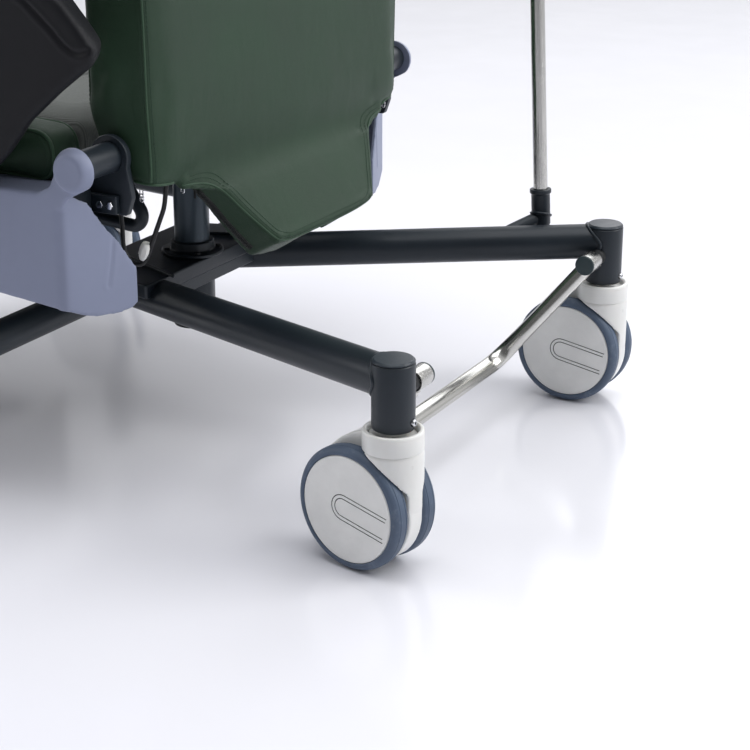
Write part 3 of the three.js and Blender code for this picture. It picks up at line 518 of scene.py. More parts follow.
def slab(outline, plane, a, b, bev=1.5, n=3):
    """An outline pushed from a to b along the third axis, with rounded edges."""
    pts = [Vector(p[:2]) for p in outline]
    clean = [pts[0]]
    for p in pts[1:]:
        if (p - clean[-1]).length > 0.05:
            clean.append(p)
    if (clean[0] - clean[-1]).length < 0.05:
        clean.pop()
    pts = clean
    area = sum(p.x * q.y - q.x * p.y for p, q in zip(pts, pts[1:] + pts[:1]))
    if area < 0:
        pts.reverse()
    m = len(pts)
    inward = []
    for i in range(m):
        e0, e1 = (pts[i] - pts[i - 1]).normalized(), (pts[(i + 1) % m] - pts[i]).normalized()
        n0, n1 = Vector((-e0.y, e0.x)), Vector((-e1.y, e1.x))
        s = n0 + n1
        d = s.length_squared
        inward.append(s * (2 / d) if d > 0.5 else s.normalized())
    bev = min(bev, abs(b - a) / 2 - 1e-3)
    rings = []
    for k in range(n + 1):
        th = pi / 2 * k / n
        rings.append((bev * (1 - sin(th)), bev * (1 - cos(th))))
    levels = [(i, a + (b - a) / abs(b - a) * h) for i, h in rings] + [(i, b - (b - a) / abs(b - a) * h) for i, h in reversed(rings)]
    verts, faces = [], []
    for ins, w in levels:
        for p, q in zip(pts, inward):
            x, y = p + q * ins
            verts.append(Vector({"yz": (w, x, y), "xy": (x, y, w), "xz": (x, w, y)}[plane]))
    L = len(levels)
    for k in range(L - 1):
        for i in range(m):
            j = (i + 1) % m
            faces.append((k * m + i, k * m + j, (k + 1) * m + j, (k + 1) * m + i))
    faces.append(tuple(range(m - 1, -1, -1)))
    faces.append(tuple(range((L - 1) * m, L * m)))
    return verts, faces


def rbox(x0, x1, y0, y1, z0, z1, r=2.0, bev=None):
    o = fil([(x0, y0, r), (x1, y0, r), (x1, y1, r), (x0, y1, r)], steps=4)
    return slab(o, "xy", z0, z1, r * 0.8 if bev is None else bev)


def link(ob):
    scene.collection.objects.link(ob)
    return ob


def raw(name, geo, mats, metres=False):
    """An object from a Geo (or a (verts, faces) pair) in design millimetres."""
    if isinstance(geo, tuple):
        geo = Geo().add(*geo)
    me = bpy.data.meshes.new(name)
    k = (lambda p: Vector(p) / 1000) if metres else D
    me.from_pydata([k(p) for p in geo.v], [], geo.f)
    mats = mats if isinstance(mats, (list, tuple)) else [mats]
    for m in mats:
        me.materials.append(m)
    me.polygons.foreach_set("material_index", geo.mi)
    bm = bmesh.new()
    bm.from_mesh(me)
    bmesh.ops.recalc_face_normals(bm, faces=bm.faces)
    bm.to_mesh(me)
    bm.free()
    me.update()
    return link(bpy.data.objects.new(name, me))


def bake(ob):
    """Applies every modifier."""
    dg = bpy.context.evaluated_depsgraph_get()
    dg.update()
    me = bpy.data.meshes.new_from_object(ob.evaluated_get(dg), depsgraph=dg)
    old = ob.data
    ob.modifiers.clear()
    ob.data = me
    if old.users == 0:
        bpy.data.meshes.remove(old)
    return ob


def smooth(ob, angle=32.0):
    ob.data.shade_smooth()
    ob.data.set_sharp_from_angle(angle=rad(angle))
    return ob


def boolean(ob, cutter, op="DIFFERENCE", transfer=False):
    m = ob.modifiers.new("b", "BOOLEAN")
    m.operation, m.object, m.solver = op, cutter, "EXACT"
    if transfer and hasattr(m, "material_mode"):
        m.material_mode = "TRANSFER"
    bake(ob)
    me = cutter.data
    bpy.data.objects.remove(cutter)
    if me.users == 0:
        bpy.data.meshes.remove(me)
    return ob


def voxel(ob, size_mm, smooth_iter=4, factor=0.5):
    mats = list(ob.data.materials)
    m = ob.modifiers.new("r", "REMESH")
    m.mode, m.voxel_size, m.use_smooth_shade = "VOXEL", size_mm / 1000, True
    if smooth_iter:
        s = ob.modifiers.new("s", "SMOOTH")
        s.factor, s.iterations = factor, smooth_iter
    bake(ob)
    ob.data.materials.clear()
    for x in mats:
        ob.data.materials.append(x)
    ob.data.polygons.foreach_set("material_index", [0] * len(ob.data.polygons))
    return ob


def piece(ob, body, replaces=(), angle=32.0, weighted=False):
    smooth(ob, angle)
    if weighted:
        w = ob.modifiers.new("wn", "WEIGHTED_NORMAL")
        w.keep_sharp = True
    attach(ob, body)
    if replaces:
        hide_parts(*([replaces] if isinstance(replaces, str) else replaces))
    return ob


def make(name, geo, mat, body, replaces=(), angle=32.0, weighted=False):
    return piece(raw(name, geo, mat), body, replaces, angle, weighted)


def coords(ob):
    a = np.empty(len(ob.data.vertices) * 3)
    ob.data.vertices.foreach_get("co", a)
    return a.reshape(-1, 3)


def normals(ob):
    a = np.empty(len(ob.data.vertices) * 3)
    ob.data.vertices.foreach_get("normal", a)
    return a.reshape(-1, 3)


def put(ob, co):
    ob.data.vertices.foreach_set("co", np.asarray(co, float).ravel())
    ob.data.update()


class Surf:
    """Finds the nearest point of a finished soft piece, in design millimetres."""

    def __init__(self, ob):
        v = [(ob.matrix_world @ x.co) for x in ob.data.vertices]
        self.t = BVHTree.FromPolygons(v, [tuple(p.vertices) for p in ob.data.polygons])

    def at(self, p):
        c, n, _, _ = self.t.find_nearest(D(p))
        return Vector((c.x * 1000, c.y * 1000 - SY, c.z * 1000)), n


def resample(pts, step, closed=False):
    P = [Vector(p) for p in pts]
    if closed:
        P.append(P[0])
    out, left = [P[0]], step
    for a, b in zip(P, P[1:]):
        d = (b - a).length
        while d >= left:
            a = a + (b - a).normalized() * left
            out.append(a)
            d -= left
            left = step
        left -= d
    if closed and (out[-1] - out[0]).length < step * 0.6:
        out.pop()
    return out


def ironed(P, closed, k=2):
    for _ in range(k):
        n = len(P)
        P = [P[i] if (not closed and i in (0, n - 1)) else (P[i - 1] + P[i] * 2 + P[(i + 1) % n]) / 4 for i in range(n)]
    return P


def on(surf, pts, step=5.0, closed=False, lift=0.0, k=2):
    P, N = [], []
    for p in resample(pts, step, closed):
        c, n = surf.at(p)
        P.append(c)
        N.append(n)
    P = ironed([a + b * lift for a, b in zip(P, N)], closed, k)
    return P, N


def cord(name, surf, pts, r=2.6, lift=0.6, closed=False, body="backrest", mat="piping"):
    P, _ = on(surf, pts, 6.0, closed, lift)
    g = Geo().add(*sweep(P, r, 12, closed, 0.6 if not closed else 0))
    return make(name, g, M[mat], body, angle=60)


def stitches(name, surf, pts, pitch=5.2, length=3.4, r=0.42, closed=False, body="backrest", mat="thread", lift=0.12, side=0.0):
    P, N = on(surf, pts, pitch, closed, 0.0, 1)
    g = Geo()
    n = len(P)
    for i in range(n if closed else n - 1):
        a, b = P[i], P[(i + 1) % n]
        t = (b - a)
        if t.length < 0.5:
            continue
        t.normalize()
        nn = N[i]
        s = t.cross(nn).normalized() * side
        c0, c1 = a + s + nn * lift, a + s + t * length + nn * lift
        mid = (c0 + c1) / 2 + nn * (r * 0.7)
        g.add(*sweep([c0 - nn * r * 0.8, c0 + t * 0.4 + nn * r * 0.3, mid, c1 - t * 0.4 + nn * r * 0.3, c1 - nn * r * 0.8], r, 6, False, 0.15))
    return make(name, g, M[mat], body, angle=60)


def groove(ob, pts, width, depth, step=3.0, closed=False, smoothstep=True, puff=0.0):
    """Presses a line into a soft piece, with the foam rising a little beside it."""
    kd_pts = [D(p) for p in resample(pts, step, closed)]
    kd = KDTree(len(kd_pts))
    for i, p in enumerate(kd_pts):
        kd.insert(p, i)
    kd.balance()
    co, nr = coords(ob), normals(ob)
    w = width / 1000
    for i in range(len(co)):
        d = kd.find(co[i])[2]
        if d < w * 4:
            f = math.exp(-(d / w) ** 2) * depth
            if puff:
                f -= puff * math.exp(-((d - 2.2 * w) / w) ** 2)
            co[i] -= nr[i] * f / 1000
    put(ob, co)
    return ob


def subdivide(ob, levels=1):
    m = ob.modifiers.new("sub", "SUBSURF")
    m.levels = m.render_levels = levels
    return bake(ob)


def puff(ob, size=6.0, pressure=4.0, cap=12.0, iters=6, frames=20, hold=None):
    """Remeshes a pad, fills it with pressure as cloth, caps how far it swells, and applies the result."""
    voxel(ob, size, iters)
    rest = coords(ob).copy()
    ob.data.update()
    m = ob.modifiers.new("cloth", "CLOTH")
    s = m.settings
    s.quality = 4
    s.mass = 0.35
    s.tension_stiffness = s.compression_stiffness = 18
    s.shear_stiffness = 6
    s.bending_stiffness = 1.2
    s.use_pressure = True
    s.uniform_pressure_force = pressure
    s.effector_weights.gravity = 0.0
    if hold is not None:
        vg = ob.vertex_groups.new(name="hold")
        idx = [int(i) for i in np.nonzero(hold(rest))[0]]
        vg.add(idx, 1.0, "REPLACE")
        s.vertex_group_mass = "hold"
    m.point_cache.frame_start, m.point_cache.frame_end = 1, frames
    for f in range(1, frames + 1):
        scene.frame_set(f)
    dg = bpy.context.evaluated_depsgraph_get()
    ev = ob.evaluated_get(dg)
    a = np.empty(len(ev.data.vertices) * 3)
    ev.data.vertices.foreach_get("co", a)
    moved = a.reshape(-1, 3)
    ob.modifiers.clear()
    d = moved - rest
    length = np.linalg.norm(d, axis=1, keepdims=True)
    lim = cap / 1000
    d *= np.minimum(1.0, lim / np.maximum(length, 1e-9))
    put(ob, rest + d)
    ob.vertex_groups.clear()
    scene.frame_set(1)
    sm = ob.modifiers.new("s", "SMOOTH")
    sm.factor, sm.iterations = 0.5, 3
    return bake(ob)


# =================================================================== castors
CORNERS = {"rl": (REAR_X, 0.0, 1), "rr": (-REAR_X, 0.0, 1), "fl": (FRONT_X, FRONT_Y, -1), "fr": (-FRONT_X, FRONT_Y, -1)}
HEADING = {j["name"][8:]: 90.0 for j in frame["joints"] if j["name"].startswith("swivel_")}
for j in frame["joints"]:
    if j["name"].startswith("wheel_") and j["name"].endswith("_a_spin"):
        HEADING[j["child"][6:8]] = 90.0 + math.degrees(math.atan2(j["axis"][1], j["axis"][0]))
AXLE_Y, AXLE_Z, WHEEL_R = -38.5, 75.0, 75.0


def castor_meshes():
    """One set of meshes in the castor's own frame, shared by the four castors."""
    body = Geo().add(*lathe([(0, 79), (30, 78.2), (33, 78.6), (34.8, 80.5), (35.5, 83.5), (35.5, 148.2), (34.9, 149.0), (33.9, 149.4),
                             (33.9, 152.0), (28.4, 152.0), (28.4, 167.2), (0, 167.2)], seg=96))
    web = []
    for k in range(25):
        a = rad(-48 + 98 * k / 24)
        web.append((AXLE_Y + 73 * cos(a), AXLE_Z + 73 * sin(a)))
    web += [(14, 150), (8, 172), (-14, 171.5), (-32, 167.5), (-52, 159.5), (-70, 148.5), (-86, 134), (-97, 118),
            (-94, 114), (AXLE_Y - 44, AXLE_Z + 24), (AXLE_Y - 22, AXLE_Z + 4), (AXLE_Y - 10, AXLE_Z - 17), (AXLE_Y + 10, AXLE_Z - 22), (AXLE_Y + 34, AXLE_Z - 38)]
    body.add(*slab(fil([(u, v, 4) for u, v in web], steps=3), "yz", -11.8, 11.8, 2.2, 3))
    ob = raw("castor_body_src", body, M["white"], metres=True)
    voxel(ob, 1.5, 1)
    cut = Geo()
    for s in (1, -1):
        cut.add(*lathe([(0, 0), (76.6, 0), (76.6, 48), (0, 48)], (s * 12.3, AXLE_Y, AXLE_Z), (s, 0, 0), 128))
    boolean(ob, raw("cutter", cut, M["white"], metres=True))
    voxel(ob, 1.15, 3)
    smooth(ob, 50)
    body_me = ob.data.copy()
    bpy.data.objects.remove(ob)
    ringp = fil([(28.8, 165.5, 0), (28.8, 172.2, 1.2), (31.0, 174.2, 1.6), (34.4, 174.2, 1.6), (35.6, 171.5, 1.4), (35.6, 151.4, 0.6), (34.9, 150.6, 0.4),
                 (33.2, 150.6, 0), (33.2, 165.5, 0)], steps=5)
    ring = raw("castor_ring_src", lathe(ringp, seg=96, closed=True), M["white"], metres=True)
    smooth(ring, 40)
    ring_me = ring.data.copy()
    bpy.data.objects.remove(ring)
    axle = Geo()
    axle.add(*lathe([(0, -31), (4.4, -31), (5, -30.2), (5, 30.2), (4.4, 31), (0, 31)], (0, AXLE_Y, AXLE_Z), (1, 0, 0), 32))
    ax = raw("castor_axle_src", axle, M["zinc"], metres=True)
    smooth(ax, 40)
    ax_me = ax.data.copy()
    bpy.data.objects.remove(ax)
    # tyre, about the wheel's own axle, x outwards from the inner face
    t = fil([(62.6, 1.4, 0), (66.8, 0.2, 0.8), (69.5, 0.4, 2), (73.2, 3.2, 3), (74.6, 6.0, 2), (74.75, 6.9, 0), (74.25, 7.15, 0), (74.3, 7.85, 0), (74.85, 8.1, 0),
             (75.0, 12.2, 6), (74.85, 16.3, 0), (74.3, 16.55, 0), (74.25, 17.25, 0), (74.7, 17.5, 0), (74.2, 19.4, 3), (72.2, 22.3, 4), (69.4, 24.2, 2), (66.2, 24.4, 0.8),
             (65.1, 23.6, 0.4), (65.0, 21.2, 0), (62.6, 21.0, 0)], steps=4)
    tyre_me, disc_me = {}, {}
    for side, s in (("a", 1), ("b", -1)):
        ty = raw("tyre_src", lathe(t, (s * 12.75, 0, 0), (s, 0, 0), 144, True), M["tyre"], metres=True)
        smooth(ty, 38)
        tyre_me[side] = ty.data.copy()
        bpy.data.objects.remove(ty)
        dp = fil([(0, 20.0), (62.5, 20.0), (64.6, 20.4, 0.3), (64.6, 23.3, 0.7), (63.4, 24.1, 0.7), (0, 24.1)], closed=False, steps=4)
        d = raw("disc_src", lathe(dp, (s * 12.75, 0, 0), (s, 0, 0), 128), [M["disc"], M["groove"]], metres=True)
        tilt = rad(-10.5)
        for half in (15.6, 10.9):
            path = []
            cx = -6.5
            for k in range(13):
                a = pi / 2 + pi * k / 12
                path.append((cx + half * cos(a), half * sin(a)))
            end = 57.2 if half > 12 else 56.2
            path = [(end, half)] + path + [(end, -half)]
            P = [Vector((s * (12.75 + 24.15), u * cos(tilt) - v * sin(tilt), u * sin(tilt) + v * cos(tilt))) for u, v in path]
            c = raw("cutter", sweep(P, 0.62, 10, False, 0), M["groove"], metres=True)
            boolean(d, c, transfer=True)
        smooth(d, 30)
        disc_me[side] = d.data.copy()
        bpy.data.objects.remove(d)
    # inner face of the wheel, with spokes that the outer disc hides
    inner = Geo().add(*lathe(fil([(5.6, 2.0, 0), (5.6, 19.8, 0), (10.5, 19.8, 1), (10.5, 6.4, 1.5), (62.4, 6.0, 0), (62.4, 2.4, 0), (14, 2.0, 0)], steps=3), (0, 0, 0), (1, 0, 0), 72, True))
    for k in range(6):
        a = 2 * pi * k / 6
        v, f = rbox(6.2, 19.6, -1.4, 1.4, 9.0, 61.5, 0.6)
        R = Matrix.Rotation(a, 3, "X")
        inner.add([R @ Vector(p) for p in v], f)
    inn = {}
    for side, s in (("a", 1), ("b", -1)):
        g = Geo()
        g.v = [Vector((s * (p.x + 12.75), p.y, p.z)) for p in inner.v]
        g.f, g.mi = list(inner.f), list(inner.mi)
        o = raw("inner_src", g, M["disc"], metres=True)
        smooth(o, 38)
        inn[side] = o.data.copy()
        bpy.data.objects.remove(o)
    return body_me, ring_me, ax_me, tyre_me, disc_me, inn


def place(name, me, mat, body, replaces=()):
    ob = link(bpy.data.objects.new(name, me))
    ob.matrix_world = mat
    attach(ob, body)
    if replaces:
        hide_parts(replaces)
    return ob


BODY_ME, RING_ME, AXLE_ME, TYRE_ME, DISC_ME, INNER_ME = castor_meshes()
for key, (cx, cy, out) in CORNERS.items():
    c = D((cx, cy, 0))
    T = Matrix.Translation(c) @ Matrix.Rotation(rad(HEADING[key] - 90), 4, "Z")
    W = T @ Matrix.Translation(Vector((0, AXLE_Y / 1000, AXLE_Z / 1000)))
    place(f"castor_{key}_housing", BODY_ME, T, f"castor_{key}", f"castor_housing_{key}")
    place(f"castor_{key}_collar", RING_ME, T, f"castor_{key}")
    place(f"castor_{key}_axle", AXLE_ME, T, f"castor_{key}")
    for s in "ab":
        place(f"castor_{key}_tyre_{s}", TYRE_ME[s], W, f"wheel_{key}_{s}", f"castor_wheel_{key}_{s}")
        place(f"castor_{key}_disc_{s}", DISC_ME[s], W, f"wheel_{key}_{s}")
        place(f"castor_{key}_hub_{s}", INNER_ME[s], W, f"wheel_{key}_{s}")

# ====================================================================== base
LEG_R, LEG_Z, LEG_DX, LEG_DZ = 24.15, 232.1, 0.426, 0.0598
CROSS_R, CROSS_Y, CROSS_Z = 21.2, -555.0, 191.0
COLUMN_Y = -475.0
POLE = Vector((-327.0, -102.0, 240.0))
SINL, COSL = sin(rad(2.9)), cos(rad(2.9))
PEDAL_Y, PEDAL_Z = 1.0, 215.5


def lean(p):
    d = Vector(p) - POLE
    return POLE + Vector((d.x, d.y * COSL - d.z * SINL, d.y * SINL + d.z * COSL))


def leaned(vf):
    return [lean(p) for p in vf[0]], vf[1]


def bead(path, r=2.3, pitch=3.6, closed=True):
    """A run of weld: a rounded cord with overlapping ripples."""
    P = resample(path, 1.2, closed)
    n = len(P)
    total = n * 1.2

    def section(s, a):
        d = s * total
        return 1.0 + 0.12 * abs(sin(pi * d / pitch)) + 0.10 * noise.noise(Vector((d * 0.12, a, 1.7)))
    return sweep(P, r, 10, closed, 0 if closed else 0.6, section)


def around(P, d, r, hit, n=72):
    """Points where a cylinder (point P, direction d, radius r) meets the surface that hit(p, d) finds along its generators."""
    u, v, w = axes(d)
    out = []
    for i in range(n):
        a = 2 * pi * i / n
        p = Vector(P) + (u * cos(a) + v * sin(a)) * r
        q = hit(p, w)
        if q is not None:
            out.append(q)
    return out


def hit_post(cx, cy, R, far=True):
    def f(p, w):
        ox, oy = p.x - cx, p.y - cy
        a = w.x ** 2 + w.y ** 2
        b = 2 * (ox * w.x + oy * w.y)
        c = ox * ox + oy * oy - R * R
        disc = b * b - 4 * a * c
        if disc < 0:
            return None
        t = (-b + math.sqrt(disc)) / (2 * a)
        return p + w * t
    return f


legs = {}
for s, nm in ((1, "left"), (-1, "right")):
    a = Vector((s * REAR_X, 0, LEG_Z))
    b = Vector((s * (REAR_X + LEG_DX * CROSS_Y), CROSS_Y, LEG_Z + LEG_DZ * CROSS_Y))
    legs[s] = (a, (b - a).normalized())
    make(f"base_leg_{nm}", sweep([a, a.lerp(b, 0.25), a.lerp(b, 0.5), a.lerp(b, 0.75), b], LEG_R, 64), M["paint"], "base", "base_frame" if s > 0 else ())
    g = Geo().add(*bead(around(a, b - a, LEG_R, hit_post(a.x, a.y, 25.0)), 2.4))
    make(f"weld_leg_{nm}", g, M["weld"], "base", angle=70)
for key, (x, y, out) in CORNERS.items():
    prof = fil([(20.5, 174.8, 0), (23.6, 174.8, 0), (25.0, 176.4, 0.8), (25.0, 252.0, 0.8), (24.0, 253.1, 0.3), (20.5, 253.1, 0), (14.35, 247.0, 0), (14.35, 176.0, 0), (16.5, 174.8, 0)], steps=4)
    sock = raw(f"base_socket_{key}", lathe(prof, (x, y, 0), seg=96, closed=True), M["paint"])
    boolean(sock, raw("cutter", lathe([(0, 8), (5.0, 8), (5.0, 40), (0, 40)], (x, y, 185), (0, out, 0), 32), M["paint"]))
    piece(sock, "base", angle=40)
    cap = fil([(0, 253.4), (23.6, 253.4, 0), (24.7, 254.4, 0.4), (24.7, 255.3, 0.9), (22.2, 257.6, 0.8), (0, 257.8)], closed=False, steps=5)
    make(f"socket_cap_trim_{key}", lathe(cap, (x, y, 0), seg=96), M["paint_cap"], "base", f"socket_cap_{key}", 24)
    stem = fil([(0, 150), (9.2, 150, 0.5), (9.5, 166, 0), (9.5, 170, 0.5), (13.6, 171.5, 0.5), (13.9, 176, 0), (13.9, 246, 1), (12, 249, 0.5), (0, 249.4)], closed=False)
    make(f"stem_{key}", lathe(stem, (x, y, 0), seg=48), M["steel_n"], "base", f"castor_stem_{key}", 30)
    # hexagon socket screw, standing a little proud of the hole
    hexo = [(2.25 * cos(pi * k / 3), 2.25 * sin(pi * k / 3)) for k in range(6)]
    sc = raw(f"set_screw_head_{key}", lathe(fil([(0, 14), (4.2, 14, 0.4), (4.2, 27.0, 0.9), (3.2, 28.0, 0.5), (0, 28.0)], closed=False), (x, y, 185), (0, out, 0), 40), [M["zinc"], M["groove"]])
    v, f = slab(hexo, "xz", y + out * 24.6, y + out * 32.0, 0.1, 1)
    boolean(sc, raw("cutter", ([Vector((p.x + x, p.y, p.z + 185)) for p in v], f), M["groove"]), transfer=True)
    piece(sc, "base", f"set_screw_{key}", 30)

# bent front tube
P = bent([(FRONT_X, FRONT_Y, 207), (FRONT_X, CROSS_Y, CROSS_Z), (-FRONT_X, CROSS_Y, CROSS_Z), (-FRONT_X, FRONT_Y, 207)], 60, arc=14)
make("base_front_tube", sweep(P, CROSS_R, 56), M["paint"], "base")
for s, nm in ((1, "left"), (-1, "right")):
    d = Vector((0, -1, 0.045)).normalized()
    pts = around((s * FRONT_X, CROSS_Y - 90, 195), (0, 1, -0.0457), CROSS_R, hit_post(s * FRONT_X, FRONT_Y, 25.0))
    make(f"weld_front_{nm}", Geo().add(*bead(pts, 2.2)), M["weld"], "base", angle=70)
# hub: folded plate box over the cross tube
hub = fil([(-160, -440, 4), (-120, -572, 9), (120, -572, 9), (160, -440, 4)], steps=4)
h = raw("base_hub", slab(hub, "xy", 212.2, 232, 2.4, 3), M["paint"])
boolean(h, raw("cutter", lathe([(0, 0), (29.2, 0), (29.2, 200), (0, 200)], (0, COLUMN_Y, 100), seg=64), M["paint"]))
piece(h, "base", angle=35, weighted=True)
g = Geo()
for s in (1, -1):      # gussets between the hub and the cross tube
    g.add(*slab(fil([(-572, 213, 1), (-572, 200, 4), (-560, 190, 6), (-470, 205, 10), (-452, 213, 2)], steps=4), "yz", s * 84, s * 90, 1.2))
g.add(*slab(fil([(-156, 213, 2), (-118, 196, 10), (118, 196, 10), (156, 213, 2)], steps=4), "xz", -446, -441, 1.2))
make("base_hub_gussets", g, M["paint"], "base", weighted=True)
pts = [(-158, -439.4, 231.4), (-60, -439.2, 231.6), (60, -439.2, 231.6), (158, -439.4, 231.4)]
g = Geo()
for s in (1, -1):
    a, d = legs[s]
    inner = axes(d)[0]
    run = []
    for k in range(20):
        t = 468 + k * 6.2
        c = a + d * t
        run.append((c.x - s * 19, c.y, 233.0))
    g.add(*bead(run, 2.2, closed=False))
make("weld_hub", g, M["weld"], "base", angle=70)
g = Geo()
for s in (1, -1):
    g.add(*lathe(fil([(0, 0), (7, 0, 0.5), (7, 40, 0.8), (0, 40)], closed=False), (s * 289, PEDAL_Y, PEDAL_Z), (-s, 0, 0), 40))
make("pedal_lock_shafts", g, M["zinc"], "base")
g = Geo()
for s in (1, -1):
    g.add(*lathe(fil([(7.2, 0, 0), (10.8, 0, 0), (10.8, 6, 0.4), (10.0, 7.0, 0.3), (10.0, 8.6, 0.3), (10.8, 9.6, 0.4), (10.8, 18.4, 0.8), (7.2, 18.4, 0)]), (s * 290, PEDAL_Y, PEDAL_Z), (-s, 0, 0), 56, True))
make("pedal_bushes", g, M["black"], "base", angle=30)
# drip pole foot: strut to the far leg, and a split collar
g = Geo().add(*sweep([(-262, -152, 222), (-290, -131, 235.5), (POLE.x, POLE.y, POLE.z + 11)], 9.2, 36))
make("pole_strut", g, M["paint"], "base")
foot = fil([(10.35, 7, 0), (10.35, 50.6, 0.4), (14.6, 50.8, 0.8), (15.2, 49.6, 0.5), (15.2, 45.4, 0.7), (13.3, 43.6, 0.6), (13.3, 1.4, 1.0), (12.0, -2, 0.8), (0.001, -2, 0), (0.001, 6, 0), (10.3, 6, 0)], steps=4)
make("pole_socket", leaned(lathe(foot, POLE, seg=64, closed=True)), M["paint"], "base", angle=32)
bd = []
for k in range(40):
    a = 2 * pi * k / 40
    bd.append(lean(POLE + Vector((13.6 * cos(a), 13.6 * sin(a), 14 + 5 * cos(a)))))
make("weld_pole", Geo().add(*bead(bd, 1.9)), M["weld"], "base", angle=70)
# lift column
col = fil([(24.5, 134, 0), (29, 134, 0.6), (29, 232.4, 0), (41, 232.4, 0.6), (42, 233.4, 0.8), (42, 236.4, 1.2), (40.6, 237.4, 0.6), (30.6, 237.6, 1.2), (29.4, 239, 0.8),
           (29.2, 248.6, 0.8), (28.2, 249.8, 0.5), (24.55, 249.8, 0)], steps=4)
co_ = make("column_outer", lathe(col, (0, COLUMN_Y, 0), seg=96, closed=True), M["paint"], "base", "lift_column_outer", 32)
g = Geo().add(*lathe(fil([(0, 129.8), (28, 129.8, 1.2), (28.8, 131.2, 0.6), (28.8, 133.8, 0.2), (0, 133.8)], closed=False), (0, COLUMN_Y, 0), seg=72))
make("column_bottom_plug", g, M["black"], "base")
# the flange screws are coloured black for the deep shade under the seat: painted shade
g = Geo()
for k in range(4):
    a = pi / 4 + k * pi / 2
    c = (35.5 * cos(a), COLUMN_Y + 35.5 * sin(a), 237.2)
    g.add(*lathe(fil([(0, -0.4), (3.6, -0.4, 0), (3.6, 2.6, 0.5), (0, 3.1)], closed=False), c, seg=24))
make("column_flange_screws", g, M["black"], "base")
inner = fil([(0, 140), (23.6, 140, 0.5), (23.9, 150, 0), (23.9, 352, 0), (23.9, 359.6, 0.8), (0, 360)], closed=False)
make("column_inner", lathe(inner, (0, COLUMN_Y, 0), seg=96), M["column"], "seat_lift", "lift_column_inner", 32)

# ---------------------------------------------------------------- brake bar
P = bent([(259, PEDAL_Y, PEDAL_Z - 2), (180, -100, 80), (-180, -100, 80), (-259, PEDAL_Y, PEDAL_Z - 2)], 40, arc=16)
seg_len = []
P = resample(P, 5.0)


def flat_mid(s, a):
    """The middle of the bar is pressed flat for the foot."""
    x = abs(s - 0.5) * 2
    k = 1.0 - min(1.0, max(0.0, (x - 0.50) / 0.16))
    k = k * k * (3 - 2 * k)
    return (1.0 - 0.40 * k, 1.0 + 0.10 * k)


make("brake_bar", sweep(P, 10.8, 48, False, 0.8, flat_mid, up=(0, 0.62, 0.78)), M["steel_x"], "brake_pedal", "pedal_bar", 45)
g = Geo()
for s in (1, -1):
    st = fil([(7.6, 7.6, 0), (7.6, 28.9, 0.3), (12.8, 29.0, 0.3), (13.5, 28.0, 0.5), (13.5, 0.6, 0.4), (13.0, 0, 0.2), (3.0, 0, 0), (3.0, 7.4, 0)], steps=4)
    g.add(*lathe(st, (s * 242.1, PEDAL_Y, PEDAL_Z), (s, 0, 0), 72, True))
make("brake_stubs", g, M["steel_n"], "brake_pedal", angle=30)
g = Geo()
for s in (1, -1):
    c = Vector((s * 258, PEDAL_Y - 5.6, PEDAL_Z - 10.6))
    ring = []
    d = Vector((-s * 0.46, -0.53, -0.71)).normalized()
    u, v, w = axes(d)
    for k in range(36):
        a = 2 * pi * k / 36
        ring.append(Vector((s * 256.6, PEDAL_Y - 7.2, PEDAL_Z - 9.6)) + (u * cos(a) + v * sin(a)) * 11.0)
    g.add(*bead(ring, 1.1, 2.4))
make("brake_welds", g, M["steel_n"], "brake_pedal", angle=60)
for nm, s in (("left", 1), ("right", -1)):
    cp = fil([(0, 0.6), (11.6, 0.6), (13.4, 0.6, 0.2), (13.5, 0.0, 0.1), (13.5, -2.0, 0.6), (12.6, -3.0, 0.6), (0, -3.3)], closed=False, steps=4)
    make(f"brake_cap_{nm}", lathe(cp, (s * 241.4, PEDAL_Y, PEDAL_Z), (s, 0, 0), 64), M["paint_stub"], "brake_pedal", f"pedal_cap_{nm}", 26)

# ---------------------------------------------------------------- drip pole
def pole_up(z):
    return (POLE.x, POLE.y, z)


tube = fil([(8.3, 247, 0), (9.2, 246.6, 0.3), (10.0, 247.6, 0.4), (10.0, 1149.4, 0.3), (9.4, 1150.0, 0.3), (8.3, 1150, 0)], steps=3)
tube = [(r, h) for r, h in tube]
dense = []
for (r0, h0), (r1, h1) in zip(tube, tube[1:] + tube[:1]):
    k = max(1, int(abs(h1 - h0) / 60))
    dense += [(r0 + (r1 - r0) * i / k, h0 + (h1 - h0) * i / k) for i in range(k)]
make("pole_lower", leaned(lathe(dense, (POLE.x, POLE.y, 0), seg=48, closed=True)), M["steel_z"], "base", "pole_tube_lower", 32)
cl = fil([(10.35, 1122.6, 0), (13.4, 1122, 0.6), (14.6, 1124, 1.2), (14.6, 1138, 1), (15.6, 1141, 1), (15.6, 1164, 2.0), (13.2, 1168, 1.5), (8.1, 1168, 0.5), (8.1, 1150.8, 0), (10.35, 1150.4, 0)], steps=4)
c = raw("pole_clamp_body", leaned(lathe(cl, (POLE.x, POLE.y, 0), seg=72, closed=True)), M["black"])
piece(c, "base", "pole_clamp", 30)
bossv = lathe(fil([(3.7, 13.0, 0), (3.7, 23.0, 0.3), (7.0, 23.0, 0.6), (8.2, 21.5, 0.8), (8.8, 13.0, 0)], steps=3), (POLE.x, POLE.y, 1158), (0, 1, 0), 40, True)
make("pole_clamp_boss", leaned(bossv), M["black"], "base")
